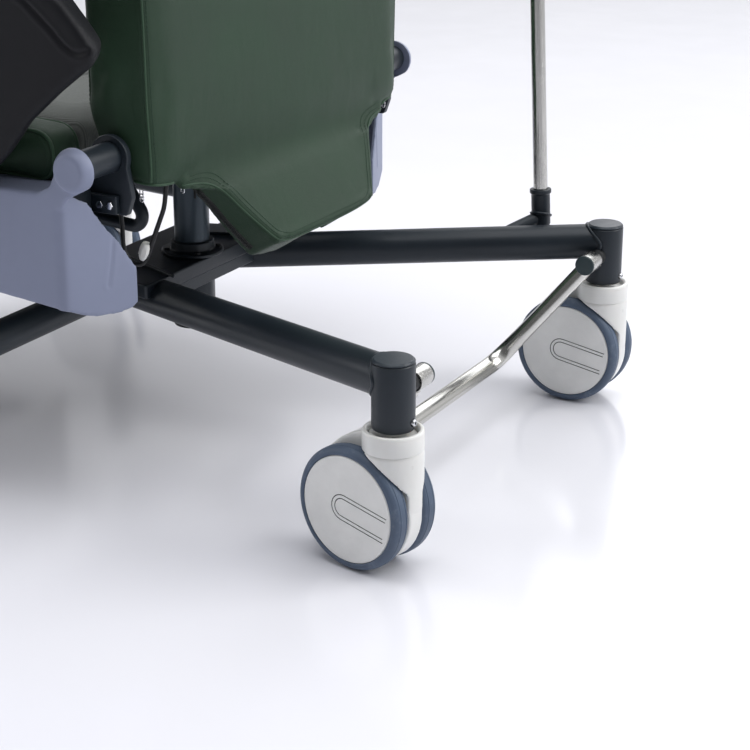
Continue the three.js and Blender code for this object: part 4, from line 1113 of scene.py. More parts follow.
# star knob with six lobes
star = []
for k in range(96):
    a = 2 * pi * k / 96
    rr = 13.0 + 1.7 * cos(6 * a)
    star.append((rr * cos(a), rr * sin(a)))
v, f = slab(star, "xz", POLE.y + 24, POLE.y + 38, 3.2, 4)
kn = Geo().add([Vector((p.x + POLE.x, p.y, p.z + 1158)) for p in v], f)
kn.add(*lathe(fil([(0, 10.6), (3.2, 10.6, 0.4), (3.2, 25, 0), (0, 25)], closed=False), (POLE.x, POLE.y, 1158), (0, 1, 0), 24))
kn.v = [lean(p) for p in kn.v]
make("pole_knob_star", kn, M["black"], "pole_knob", "pole_clamp_knob", 34)
g = lathe(fil([(0, 37.6), (5.5, 37.6, 0.3), (6.2, 38.4, 0.5), (4.6, 39.4, 0.6), (0, 39.8)], closed=False), (POLE.x, POLE.y, 1158), (0, 1, 0), 36)
make("pole_knob_disc", leaned(g), M["steel_n"], "pole_knob")
hs = [420 + i * (1452 - 420) / 18 for i in range(19)]
upr = [(0, 420.0), (6.6, 420.0), (7.4, 420.9)] + [(7.4, h) for h in hs[1:-1]] + [(7.4, 1451.6), (0, 1451.9)]
make("pole_upper", leaned(lathe(upr, (POLE.x, POLE.y, 0), seg=40)), M["steel_z"], "drip_pole", "pole_tube_upper", 32)
hd = Geo().add(*lathe(fil([(0, 1447.8), (9.6, 1447.8, 0.4), (11.2, 1449.0, 0.8), (12.6, 1453, 1), (12.6, 1468, 2.4), (8.5, 1475.5, 3), (0, 1477)], closed=False, steps=5), (POLE.x, POLE.y, 0), seg=56))
hd.v = [lean(p) for p in hd.v]
make("pole_head", hd, M["steel_n"], "drip_pole", "pole_hook_head", 30)
g = Geo()
for s in (1, -1):
    for pts in ([(0, s * 6, 1462), (0, s * 52, 1462), (0, s * 78, 1459), (0, s * 91, 1476), (0, s * 88, 1495)],
                [(s * 6, 0, 1462), (s * 46, 0, 1462), (s * 67, 0, 1459), (s * 79, 0, 1476), (s * 76, 0, 1494)]):
        pp = bent([lean((POLE.x + x, POLE.y + y, z)) for x, y, z in pts], [30, 12, 9], arc=12)
        g.add(*sweep(pp, 3.1, 20, False, 0.9))
        e = lean((POLE.x + pts[-1][0], POLE.y + pts[-1][1], pts[-1][2]))
        g.add(*lathe([(0, -4.3), (2.6, -3.6), (4.0, -1.8), (4.4, 0), (4.0, 1.8), (2.6, 3.6), (0, 4.3)], e, (0, 0, 1), 20))
make("pole_hooks", g, M["steel_n"], "drip_pole", angle=60)


# ============================================================== upholstery
BX, RY, BZ0, BZ1 = 305.0, -321.0, 409.0, 1238.0
PIV_Y, PIV_Z = -369.0, 443.0

# Rear pad with its sides: filled, then joined with the tongue below it.
side = fil([(RY + 2.5, BZ0 - 4, 4), (RY - 2, BZ1 - 2, 14), (-406, BZ1 - 2, 8), (-408, 486, 26), (-394, 444, 24), (-376, 414, 14), (-350, BZ0 - 3, 8)], steps=5)
pad = raw("back_rear_upholstery", slab(side, "yz", -BX - 1, BX + 1, 3.5, 2), [M["vinyl"]])
puff(pad, 6.0, 4.0, 5.0, 2, 20)

G = Vector((0, -0.878, -0.479))        # across the gussets
FAR = 12.0                             # the pouch hangs a little to the right


def wall(z):
    return RY - 0.8 + max(0.0, 408.6 - z) * 0.545


def half(z):
    pts = [(299, 100), (303, 113), (308, 121), (319, 131.5), (334, 145), (354, 161.5), (372, 175), (384, 187), (391, 199), (396, 212), (399, 228), (403, 246)]
    for (z0, w0), (z1, w1) in zip(pts, pts[1:]):
        if z <= z1:
            return w0 + (w1 - w0) * max(0.0, (z - z0) / (z1 - z0))
    return 246


def tube_rows(g, rows):
    """Closes rows of four corners into one solid strip."""
    o = len(g.v)
    for r in rows:
        g.v += [Vector(p) for p in r]
    for k in range(len(rows) - 1):
        for e in range(4):
            g.f.append((o + 4 * k + e, o + 4 * k + (e + 1) % 4, o + 4 * k + 4 + (e + 1) % 4, o + 4 * k + 4 + e)), g.mi.append(0)
    g.f.append((o, o + 1, o + 2, o + 3)), g.mi.append(0)
    e = o + 4 * (len(rows) - 1)
    g.f.append((e + 3, e + 2, e + 1, e)), g.mi.append(0)


tg = Geo()
NU, NV = 40, 30
grid = {}
for layer in (0, 1):
    for j in range(NV + 1):
        for i in range(NU + 1):
            u = -1 + 2 * i / NU
            zb = 299.3 + 4.5 * abs(u) ** 5
            z = 414 + (zb - 414) * j / NV
            crown = 5.0 * (1 - abs(u) ** 3) * min(1, max(0, (410 - z) / 60))
            grid[(layer, i, j)] = len(tg.v)
            y = wall(z) - 12 * layer + (crown if layer == 0 else 0) + 3.0 * min(1, max(0, (z - 345) / 60)) * (1 - layer)
            tg.v.append(Vector((u * (half(z) + (FAR if u < 0 else 0)), y, z)))
for j in range(NV):
    for i in range(NU):
        for layer in (0, 1):
            q = [grid[(layer, i, j)], grid[(layer, i + 1, j)], grid[(layer, i + 1, j + 1)], grid[(layer, i, j + 1)]]
            tg.f.append(tuple(q if layer else reversed(q)))
            tg.mi.append(0)
for i in range(NU):
    for j in (0, NV):
        tg.f.append((grid[(0, i, j)], grid[(0, i + 1, j)], grid[(1, i + 1, j)], grid[(1, i, j)])), tg.mi.append(0)
for j in range(NV):
    for i in (0, NU):
        tg.f.append((grid[(0, i, j)], grid[(0, i, j + 1)], grid[(1, i, j + 1)], grid[(1, i, j)])), tg.mi.append(0)


def deep(z):
    return 34 + 20 * min(1.0, max(0.0, (397 - z) / 85))


for s in (1, -1):      # the gusset down each side of the tongue
    rows = []
    for k in range(31):
        z = 402 - (402 - 303) * k / 30
        a = Vector((s * half(z), wall(z), z))
        if z > 384:
            a.x = s * (half(384) + (half(z) - half(384)) * 0.45)
        if s < 0:
            a.x -= FAR
        b = a + G * deep(z)
        i_ = Vector((-s * 10, 0, 4))
        rows.append([a, b, b + i_, a + i_])
    tube_rows(tg, rows)
rows = []
for k in range(57):    # and the one along its foot, relieved where it swings past the column
    x = -130 + 250 * k / 56
    q = min(1.0, abs(x / 120))
    e = min(1.0, max(0.0, (abs(x) - 31) / 26))
    far_ = 8 + 46 * e * e * (3 - 2 * e)
    a = Vector((x, wall(301.5), 301.5 + 4.5 * q ** 5 - 1.5))
    b = a + G * far_ + Vector((0, 0, -7 * (1 - q ** 2) * far_ / 54))
    i_ = Vector((0, 2, 9))
    rows.append([a, b, b + i_, a + i_])
tube_rows(tg, rows)
tongue = raw("tongue_src", tg, [M["vinyl"]])
voxel(tongue, 3.3, 2)
bm = bmesh.new()
bm.from_mesh(pad.data)
bm.from_mesh(tongue.data)
bm.to_mesh(pad.data)
bm.free()
bpy.data.objects.remove(tongue)
voxel(pad, 3.8, 3)
co_ = coords(pad)
for c in co_:          # the pad widens a little upwards
    z = c[2] * 1000
    k = min(1.0, max(0.0, (z - 412) / 220))
    c[0] *= 0.992 + 0.028 * k
    e = min(1.0, max(0.0, (300 - abs(c[0]) * 1000) / 36))
    c[2] -= min(1.0, max(0.0, (445 - z) / 36)) * (1.5 + 8.0 * e) / 1000 * min(1.0, max(0.0, (z - 380) / 14))
put(pad, co_)
grp = pad.vertex_groups.new(name="flow")
for i, c in enumerate(coords(pad)):
    x, y, z = abs(c[0]) * 1000, c[1] * 1000 - SY, c[2] * 1000
    w_ = min(1, max(0, (470 - z) / 30)) * min(1, max(0, (z - 340) / 25)) * min(1, max(0, (half(min(z, 403)) - 16 - x) / 16))
    if w_ > 0 and y > wall(z) - 9:
        grp.add([i], w_, "REPLACE")
m_ = pad.modifiers.new("flow", "SMOOTH")
m_.factor, m_.iterations, m_.vertex_group = 0.5, 120, "flow"
bake(pad)
pad.vertex_groups.clear()
arch = [(246, RY + 1, 396.5), (236, -316.5, 397), (219, -314.5, 396), (202, -312.5, 393), (187.4, -309.4, 386.8), (174.6, -301.4, 372.0), (161.3, -291.3, 353.6),
        (145.0, -280.8, 334.2), (131.7, -272.4, 318.9), (120.5, -266.1, 307.3), (104, -263, 301)]
seam_gusset = {s: [(s * x - (FAR if s < 0 else 0), y, z) for x, y, z in arch] for s in (1, -1)}
seam_bottom = [(x, -262, 299.5) for x in range(96, -105, -8)]
full_seam = [Vector(p) for p in seam_gusset[1]] + [Vector(p) for p in seam_bottom] + [Vector(p) for p in reversed(seam_gusset[-1])]
groove(pad, full_seam, 3.0, 1.5, puff=0.6)
surf = Surf(pad)
piece(pad, "backrest", ["back_rear_cover", "back_skirt"], 60)
zr = [BZ0 + i * (BZ1 - 20 - BZ0) / 30 for i in range(31)]
per = [(BX - 1 + 8 * min(1, max(0, (z - 412) / 220)), RY - 1, z) for z in zr]
per += [(BX + 2, RY - 4, BZ1 - 9), (BX - 12, RY - 4, BZ1 - 3)]
per += [(BX - 20 - i * (2 * BX - 40) / 24, RY - 4, BZ1 - 1) for i in range(25)]
per += [(-BX + 16, RY - 4, BZ1 - 3), (-BX + 5, RY - 4, BZ1 - 9)] + [(-p[0], p[1], p[2]) for p in reversed(per[:31])]
cord("back_piping_rear", surf, per, 1.5, 0.5)
stitches("back_stitch_rear", surf, [(p[0] * 0.968, RY, p[2] if p[2] < BZ1 - 30 else BZ1 - 11) for p in per if abs(p[0]) > 0], 5.4, 3.6, 0.40)
for s, nm in ((1, "left"), (-1, "right")):
    low = [(s * (BX - 3), -352, BZ0 - 2), (s * (BX - 3), -332, BZ0 - 4), (s * (BX - 7), RY, BZ0 - 4), (s * 280, RY, BZ0 - 5), (s * 252, RY, BZ0 - 8)]
    cord(f"back_piping_low_{nm}", surf, low, 1.8, 0.4)
cord("tongue_edge_cord", surf, full_seam, 1.2, 0.2)
stitches("tongue_stitch_outer", surf, [(p.x * 0.955, p.y, p.z + 4.5) for p in full_seam], 5.0, 3.3, 0.42)
stitches("tongue_stitch_inner", surf, [(p.x * 0.925, p.y - 2, p.z + 9) for p in full_seam], 5.0, 3.3, 0.42)
for s, nm in ((1, "left"), (-1, "right")):
    zp = []
    for k in range(18):
        z = 398 - (398 - 309) * k / 17
        a = Vector((s * half(min(z, 384)) - (FAR if s < 0 else 0), wall(z), z)) + G * (deep(z) * 0.74)
        zp.append((a.x + s * 3, a.y, a.z))
    Pz, Nz = on(surf, zp, 3.0, False, 0.0, 3)
    g, teeth = Geo(), Geo()
    rows = []
    for i, (p, n) in enumerate(zip(Pz, Nz)):
        t = (Pz[min(i + 1, len(Pz) - 1)] - Pz[max(i - 1, 0)]).normalized()
        w = t.cross(n).normalized()
        rows.append([p + w * 4.6 - n * 0.8, p + w * 4.6 + n * 0.3, p + w * 1.8 + n * 0.7, p - w * 1.8 + n * 0.7, p - w * 4.6 + n * 0.3, p - w * 4.6 - n * 0.8])
        for side_ in (1, -1):
            c0 = p + w * side_ * 1.0 + n * 0.8 + t * (0.8 if side_ > 0 else -0.7)
            teeth.add(*sweep([c0 - w * side_ * 1.3, c0 + w * side_ * 1.2], 0.7, 8, False, 0.25))
    m_ = 6
    for r in rows:
        g.v += r
    for i in range(len(rows) - 1):
        for e in range(m_):
            g.f.append((i * m_ + e, i * m_ + (e + 1) % m_, (i + 1) * m_ + (e + 1) % m_, (i + 1) * m_ + e)), g.mi.append(0)
    g.f.append(tuple(range(m_ - 1, -1, -1))), g.mi.append(0)
    g.f.append(tuple(range((len(rows) - 1) * m_, len(rows) * m_))), g.mi.append(0)
    make(f"zip_tape_{nm}", g, M["tape"], "backrest", angle=50)
    make(f"zip_teeth_{nm}", teeth, M["black"], "backrest", angle=50)
    p, n = Pz[0], Nz[0]
    pull = Geo().add(*rbox(-2.6, 2.6, -1.3, 1.3, -5, 4, 1.0)).add(*rbox(-1.7, 1.7, -0.6, 0.6, -15, -4.6, 0.5))
    pull.v = [Vector(p) + Vector((s * 2.6, 0, 0)) + Vector((q.y * s, q.x, q.z)) for q in pull.v]
    make(f"zip_pull_{nm}", pull, M["black"], "backrest")
# wire clips that hold the cover's lower edge
for i, (cx, cy, cz) in enumerate(((299, -343, 399), (229, -333, 395), (-299, -343, 399), (-229, -333, 395))):
    w = bent([(cx, cy, cz + 3), (cx, cy, cz - 11), (cx, cy + 4.4, cz - 11), (cx, cy + 4.4, cz + 3)], 2.1, arc=8)
    g = Geo().add(*sweep(w, 0.75, 10, False, 0.2))
    for k in range(3):
        g.add(*rbox(cx - 1.1, cx + 1.1, cy - 0.9, cy + 5.3, cz - 9.2 + 3.6 * k, cz - 8.0 + 3.6 * k, 0.4))
    make(f"cover_clip_{i}", g, M["zinc"], "backrest", angle=50)


def pad_piece(name, outline, plane, a, b, mat, body, repl=(), bev=10, size=5.0, cap=8.0, iters=4, pressure=4.0, grooves=(), width=4.5, depth=5.0, frames=20, sub=True):
    ob = raw(name, slab(outline, plane, a, b, bev, 3), [M[mat]])
    puff(ob, size, pressure, cap, iters, frames)
    if sub:
        subdivide(ob)
    for g in grooves:
        groove(ob, g, width, depth, puff=depth * 0.18)
    s = Surf(ob)
    piece(ob, body, repl, 70)
    return ob, s


def loop(outline, plane, w, shrink=0.0):
    c = Vector((sum(p[0] for p in outline) / len(outline), sum(p[1] for p in outline) / len(outline)))
    out = []
    for p in outline:
        d = Vector(p[:2]) - c
        q = c + d * (1 - shrink / max(d.length, 1))
        out.append({"yz": (w, q.x, q.y), "xz": (q.x, w, q.y), "xy": (q.x, q.y, w)}[plane])
    return out


# Front of the back: a grey panel between two green bolsters.
o = fil([(-232, 476, 16), (232, 476, 16), (232, 1232, 20), (-232, 1232, 20)], steps=5)
zz = [620, 800, 980]
gr = [[(x, -411, z) for x in range(-232, 233, 8)] for z in zz]
_, sf = pad_piece("back_panel_grey", o, "xz", -411, -396, "weave", "backrest", "back_cushion", 6, 6.0, 7.0, 3, grooves=gr, width=5, depth=5.5)
for k, g_ in enumerate(gr):
    stitches(f"back_panel_stitch_{k}", sf, g_, 5.4, 3.5, 0.42, mat="thread_grey", lift=0.2)
for s, nm in ((1, "left"), (-1, "right")):
    x0, x1 = (236, 299) if s > 0 else (-299, -236)
    o = fil([(x0, 474, 20), (x1, 474, 20), (x1, 1234, 24), (x0, 1234, 24)], steps=5)
    _, sf = pad_piece(f"back_bolster_{nm}", o, "xz", -413, -396, "vinyl", "backrest", (), 7, 5.0, 6.0, 3, sub=False)
    cord(f"back_piping_front_{nm}", sf, loop(o, "xz", -405, 0.0), 2.0, 0.4, True)
    stitches(f"back_bolster_stitch_{nm}", sf, loop(o, "xz", -414, 9.0), 5.4, 3.5, 0.40, True)

# Head pillow
o = fil([(-414, 1086, 10), (-414, 1226, 10), (-446, 1232, 18), (-458, 1165, 40), (-446, 1082, 18)], steps=5)
_, sf = pad_piece("head_pillow_soft", o, "yz", -146, 146, "vinyl", "backrest", "head_pillow", 13, 4.5, 9.0, 4)
cord("head_pillow_piping_left", sf, loop(o, "yz", 141, 3), 2.0, 0.3, True)
cord("head_pillow_piping_right", sf, loop(o, "yz", -141, 3), 2.0, 0.3, True)
stitches("head_pillow_stitch", sf, [(x, -470, 1159) for x in range(-136, 137, 6)], 5.2, 3.4, 0.4)

# Seat: grey centre and two green bolsters
o = fil([(-421, 414, 12), (-421, 474, 22), (-878, 474, 30), (-878, 414, 12)], steps=6)
gr = [[(x, y, 482) for x in range(-282, 283, 8)] for y in (-570, -725)]
_, sf = pad_piece("seat_centre_grey", o, "yz", -282, 282, "weave", "seat_lift", "seat_cushion", 10, 6.5, 8.0, 4, grooves=gr, width=5, depth=5.0)
for k, g_ in enumerate(gr):
    stitches(f"seat_stitch_{k}", sf, g_, 5.4, 3.5, 0.42, body="seat_lift", mat="thread_grey", lift=0.2)
for s, nm in ((1, "left"), (-1, "right")):
    x0, x1 = (286.5, 342) if s > 0 else (-342, -286.5)
    o = fil([(-433, 407, 24), (-434, 468, 24), (-520, 475, 0), (-880, 479, 34), (-880, 411.5, 16), (-520, 408, 0)], steps=6)
    _, sf = pad_piece(f"seat_bolster_{nm}", o, "yz", x0, x1, "vinyl", "seat_lift", (), 9, 4.5, 6.0, 3, sub=False)
    for xx, lab in ((s * 339.0, "outer"), (s * 290, "inner")):
        cord(f"seat_piping_{lab}_{nm}", sf, loop(o, "yz", xx, 0), 2.2, 0.3, True, "seat_lift")
    stitches(f"seat_bolster_stitch_{nm}", sf, loop(o, "yz", s * 346, 8), 5.4, 3.5, 0.40, True, "seat_lift")

# Legrest cushion with sewn channels
o = fil([(-258, 176, 26), (258, 176, 26), (258, 389, 26), (-258, 389, 26)], steps=6)
gr = [[(x, -968, z) for x in range(-256, 257, 8)] for z in (246, 318)]
_, sf = pad_piece("legrest_cushion_soft", o, "xz", -961, -906.5, "vinyl", "legrest", "legrest_cushion", 14, 6.0, 9.0, 4, grooves=gr, width=5.5, depth=6.0)
for k, g_ in enumerate(gr):
    stitches(f"legrest_stitch_{k}", sf, g_, 5.4, 3.5, 0.42, body="legrest", lift=0.2)
cord("legrest_piping_front", sf, loop(o, "xz", -955, 0), 2.2, 0.4, True, "legrest")
cord("legrest_piping_back", sf, loop(o, "xz", -912, 0), 2.2, 0.4, True, "legrest")

# ================================================================ armrests
arm = [(-312, 584, 8), (-318, 566, 12), (-364, 532, 0), (-409, 494, 30), (-440, 456, 20), (-470, 428, 18), (-650, 426, 30),
       (-742, 508, 60), (-806, 590, 30), (-822, 650, 18), (-818, 694, 14), (-780, 708, 20), (-480, 706, 40), (-357, 636, 0), (-330, 606, 12)]
for s, nm in ((1, "left"), (-1, "right")):
    a, b = (346.5, 409.5) if s > 0 else (-409.5, -346.5)
    ob = raw(f"armrest_{nm}_pad", slab(fil(arm, steps=5), "yz", a, b, 11, 4), [M["foam"]])
    co_ = coords(ob)
    for c in co_:      # the rear end sweeps forward towards the inside
        k = min(1.0, max(0.0, (c[1] * 1000 - SY + 720) / 240))
        c[1] -= 0.57e-3 * (410 - abs(c[0]) * 1000) * k
    put(ob, co_)
    voxel(ob, 4.0, 8)
    subdivide(ob)
    seam = [(s * 410, -303, 592), (s * 410, -320, 585), (s * 410, -341, 578), (s * 410, -358, 588), (s * 410, -373, 603), (s * 410, -408, 632), (s * 410, -446, 655), (s * 410, -485, 667), (s * 410, -600, 668), (s * 410, -740, 668),
            (s * 410, -785, 664), (s * 410, -815, 655)]
    groove(ob, bent(seam, 18, 4), 2.6, 2.4, 2.0, puff=0.5)
    base_line = [(s * 378, y, z) for y, z in ((-480, 426), (-560, 425), (-640, 426))]
    piece(ob, f"armrest_{nm}", f"armrest_{nm}", 70)
    post = fil([(0, 311, 0), (11.2, 311, 0.5), (12.0, 312, 0.5), (12.0, 430, 0)], closed=False)
    make(f"armrest_{nm}_post", lathe(post + [(12.0, 470), (12.0, 518), (0, 518.5)], (s * 368, -600, 0), seg=48), M["steel_z"], f"armrest_{nm}", f"armrest_post_{nm}", 30)
    col = fil([(12.2, 416, 0), (20, 416, 1.2), (20, 424, 1.5), (16, 428, 1), (12.2, 428, 0)], steps=4)
    make(f"armrest_{nm}_collar", lathe(col, (s * 368, -600, 0), seg=56, closed=True), M["black"], f"armrest_{nm}")

# ============================================================= side covers
for s, nm in ((1, "left"), (-1, "right")):
    sx = lambda a, b: (a, b) if s > 0 else (-b, -a)
    fx = lambda pts: [(s * p[0],) + tuple(p[1:]) for p in pts]
    line = fil([(-872, 300, 20), (-872, 408, 16), (-470, 410, 0), (-422, 410, 0), (-366, 410, 0), (-366, 262, 0), (-388, 270.5, 6), (-486, 279, 0), (-700, 290, 0)], steps=4)
    ob = raw(f"side_cover_{nm}_shell", slab(line, "yz", *sx(333, 390), 3.0, 2), [M["cover"]])
    plan = fil(fx([(320, -890), (388, -890, 3), (390, -872, 8), (390.5, -700, 0), (390, -399, 0), (378, -399), (378, -405), (320, -405)]), steps=6)
    boolean(ob, raw("x", slab(plan, "xy", 240, 420, 0.2, 1), M["cover"]), "INTERSECT")
    strip = raw("x", slab(fil(fx([(389.5, -400, 0), (387.5, -388.5, 11), (293.3, -354.6, 1), (293.3, -366, 1), (378, -404)]), steps=5), "xy", 248, 414, 0.2, 1), M["cover"])
    diag = fil(fx([(394, 411), (376, 409, 4), (364, 400.5, 4), (354, 395.5, 5), (347, 383, 8), (332, 361), (316, 341), (306, 324.5), (293.8, 305, 9), (293.2, 283), (294, 260, 9), (306, 255, 8), (323, 254),
                   (346, 255.5), (361, 259.5), (374, 266), (394, 273)]), steps=4)
    boolean(strip, raw("y", slab(diag, "xz", -430, -330, 0.2, 1), M["cover"]), "INTERSECT")
    boolean(ob, strip, "UNION")
    ring = fil([(-432, 394), (-422, 410, 5), (-404, 419, 4)] + [(PIV_Y + 26.5 * cos(rad(t)), PIV_Z - 2 + 26.5 * sin(rad(t))) for t in range(186, -46, -11)]
               + [(-370, 412, 9), (-383, 405, 5), (-388, 394)], steps=4)
    boolean(ob, raw("x", slab(ring, "yz", *sx(380, 390), 1.5, 2), M["cover"]), "UNION")
    boolean(ob, raw("x", lathe(fil([(0, -6), (25.5, -6), (25.5, 0, 3), (23.5, 5, 6), (19.5, 9.5, 4), (16.3, 10.6, 2), (15, 9.6, 2), (0, 9.4)], closed=False, steps=5), (s * 390, PIV_Y, PIV_Z - 2), (s, 0, 0), 72), M["cover"]), "UNION")
    voxel(ob, 2.4, 5)
    mould = [(324.4, -365.4, 346), (326.2, -366, 332), (328.1, -366.6, 319.1), (330.6, -367.5, 305), (332.9, -368.3, 291)]
    groove(ob, fx(mould), 2.6, 1.3, 1.5, puff=0.3)
    pocket = fil([(-868, 304, 16), (-868, 404, 12), (-470, 405.5, 0), (-330, 405.5, 0), (-330, 240, 0), (-388, 275, 0), (-486, 283.5, 0), (-700, 294.5, 0)], steps=3)
    pk = raw("pocket", slab(pocket, "yz", *sx(270, 386), 1, 1), M["cover"])
    inner = fx([(260, -880), (386, -880), (386, -394.5), (383.5, -392.0), (260, -347.8)])
    boolean(pk, raw("x", slab(inner, "xy", 230, 420, 0.2, 1), M["cover"]), "INTERSECT")
    boolean(ob, pk)
    boolean(ob, raw("x", lathe([(0, 395), (15.0, 395), (15.0, 430), (0, 430)], (s * 368, -600, 0), seg=40), M["cover"]))
    boolean(ob, raw("x", lathe([(0, 0), (28, 0), (28, 51.5), (0, 51.5)], (s * 333, PIV_Y, PIV_Z), (s, 0, 0), 48), M["cover"]))
    piece(ob, "seat_lift", f"side_cover_{nm}", 40)

# ====================================================== seat frame and back frame
g = Geo()
g.add(*rbox(-330, 330, -872, -470, 402, 405.5, 1.2))
g.add(*rbox(-330, 330, -802, -774, 372, 402, 2.0)).add(*rbox(-330, 330, -500, -476, 380, 402, 2.0))
for s in (1, -1):
    sp = lambda a, b: (a, b) if s > 0 else (-b, -a)
    g.add(*rbox(*sp(302, 330), -872, -399, 374, 402.4, 3.0))
    g.add(*rbox(*sp(28, 48), -802, -424, 368.4, 402, 2.0))
    g.add(*rbox(*sp(328, 360), -610, -590, 376, 396, 2.0))
g.add(*rbox(-50, 50, -580, -418, 360.4, 368.3, 2.0))
make("seat_frame_rails", g, M["paint"], "seat_lift", "seat_frame", weighted=True)
g = Geo()
for s in (1, -1):
    P = bent([(s * 200, -740, 402), (s * 200, -740, 346), (s * 200, -399, 322), (s * 200, -452, 402)], [22, 14], arc=12)
    g.add(*sweep(P, 8.2, 28))
    g.add(*rbox(*((193, 207) if s > 0 else (-207, -193)), -756, -724, 399.5, 402.2, 1.0))
    g.add(*lathe(fil([(12.6, 306, 0), (16, 306, 0.8), (16, 398, 0.8), (12.6, 398, 0)]), (s * 368, -600, 0), seg=48, closed=True))
    g.add(*lathe(fil([(0, 0), (6, 0, 0.5), (6, 23, 0.6), (0, 23)], closed=False), (s * 304, -893, 398), (-s, 0, 0), 32))
make("seat_frame_tubes", g, M["paint"], "seat_lift")
g = Geo()
for s in (1, -1):
    sp = (312, 321) if s > 0 else (-321, -312)
    hp = [(-450, 375, 3), (-347, 375, 5), (-339, 397, 6)] + [(PIV_Y + 26 * cos(rad(t)), PIV_Z + 26 * sin(rad(t))) for t in range(-22, 204, 12)] + [(-412, 404, 4), (-450, 404, 3)]
    pl = slab(fil(hp, steps=4), "yz", *sp, 1.4, 3)
    g.add(*pl)
    lg = [(-861, 375, 2), (-861, 402, 2)] + [(-893 + 12.5 * cos(rad(t)), 398 + 12.5 * sin(rad(t))) for t in range(62, 251, 14)]
    g.add(*slab(fil(lg, steps=3), "yz", *((302, 311) if s > 0 else (-311, -302)), 1.2, 3))
hp_ob = raw("seat_frame_hinge_plates", g, M["paint"])
for s in (1, -1):
    boolean(hp_ob, raw("x", lathe([(0, 0), (18.6, 0), (18.6, 30), (0, 30)], (s * 300, PIV_Y, PIV_Z), (s, 0, 0), 64), M["paint"]))
piece(hp_ob, "seat_lift", angle=35, weighted=True)
g = Geo()
for s in (1, -1):      # stiffening block on the hinge plate, and its bolts
    sp = (321.2, 329) if s > 0 else (-329, -321.2)
    g.add(*rbox(*sp, -404, -356, 377, 399, 1.6))
    g.add(*rbox(*((329.2, 362) if s > 0 else (-362, -329.2)), -426, -390, 380, 405.2, 2.2))
make("seat_frame_blocks", g, M["paint"], "seat_lift", weighted=True)
g = Geo()
for s in (1, -1):
    for y in (-378, -364):
        hx = [(5.0 * cos(pi * k / 3), 5.0 * sin(pi * k / 3)) for k in range(6)]
        v, f = slab(hx, "yz", s * 329, s * 332.4, 0.5, 2)
        g.add([Vector((p.x, p.y + y, p.z + 388)) for p in v], f)
make("seat_frame_bolts", g, M["zinc"], "seat_lift")


def lugs(A, y0, y1, z0, z1):
    g = Geo()
    for a, b in ((-13, -9), (9, 13)):
        g.add(*slab(fil([(y0, z1, 1), (y1, z1, 1), (y1, z0 + 6, 8), (y1 - 6, z0, 8), (y0 + 6, z0, 8), (y0, z0 + 6, 8)], steps=4), "yz", A + a, A + b, 0.8))
    return g


for nm, A, (py, pz), box_ in (("back", -75, (-720, 330), (-734, -706, 319, 402.4)), ("legrest", 75, (-600, 345), (-614, -586, 333, 402.4))):
    make(f"{nm}_actuator_lugs", lugs(A, *box_), M["paint"], "seat_lift", weighted=True)
    pin = lathe(fil([(0, -15.5), (6.2, -15.5, 0.8), (6.2, -13.3, 0.4), (4.0, -13.2, 0), (4.0, 13.6, 0), (4.0, 15.6, 0.6), (0, 15.8)], closed=False), (A, py, pz), (1, 0, 0), 32)
    make(f"{nm}_actuator_pin", pin, M["zinc"], "seat_lift")
g = Geo().add(*lathe(fil([(0, -384), (16, -384, 0.6), (18.0, -382, 1.0), (18.0, -306, 0), (18.0, 306, 0), (18.0, 382, 1.0), (16, 384, 0.6), (0, 384)], closed=False), (0, PIV_Y, PIV_Z), (1, 0, 0), 80))
make("back_pivot_tube", g, M["paint"], "backrest", "back_frame", 34)
g = Geo()
lev = [(-381, 446, 2)] + [(-344 + 11 * cos(rad(t)), 338 + 11 * sin(rad(t))) for t in range(200, 381, 18)] + [(-357, 446, 2)]
for a, b in ((-13, -9), (9, 13)):
    g.add(*slab(fil(lev, steps=3), "yz", -75 + a, -75 + b, 0.9))
make("back_lever", g, M["paint"], "backrest", weighted=True)
# push handle with rubber grips and fixing plates
P = bent([(-190, -316, 1150), (-190, -262, 1150), (190, -262, 1150), (190, -316, 1150)], 26, arc=14)
make("push_handle_tube", sweep(P, 9.9, 40), M["steel_x"], "backrest", "push_handle", 45)
g = Geo()
for s in (1, -1):
    g.add(*sweep([(s * 60, -262, 1150), (s * 105, -262, 1150), (s * 150, -262, 1150)], 12.6, 40, False, 1.6, lambda t, a: 1.0 - 0.045 * (0.5 + 0.5 * cos(t * 2 * pi * 11)) * (1 if 0.06 < t < 0.94 else 0)))
v = []
for s, nm in ((1, "left"), (-1, "right")):
    x0, x1 = (60, 150) if s > 0 else (-150, -60)
    n_ = 92
    path = [(x0 + (x1 - x0) * i / n_, -262, 1150) for i in range(n_ + 1)]
    make(f"push_handle_grip_{nm}", sweep(path, 12.8, 40, False, 1.6, lambda t, a: 1.0 - 0.05 * (1 if (t * 15) % 1 < 0.32 and 0.05 < t < 0.95 else 0)), M["rubber"], "backrest", angle=50)
    make(f"push_handle_flange_{nm}", lathe(fil([(0, 0), (21, 0, 0.5), (21, 3.4, 1.2), (12, 4.4, 1.5), (10.4, 7.4, 0.8), (0, 7.4)], closed=False), (s * 190, -323, 1150), (0, 1, 0), 56), M["paint"], "backrest")

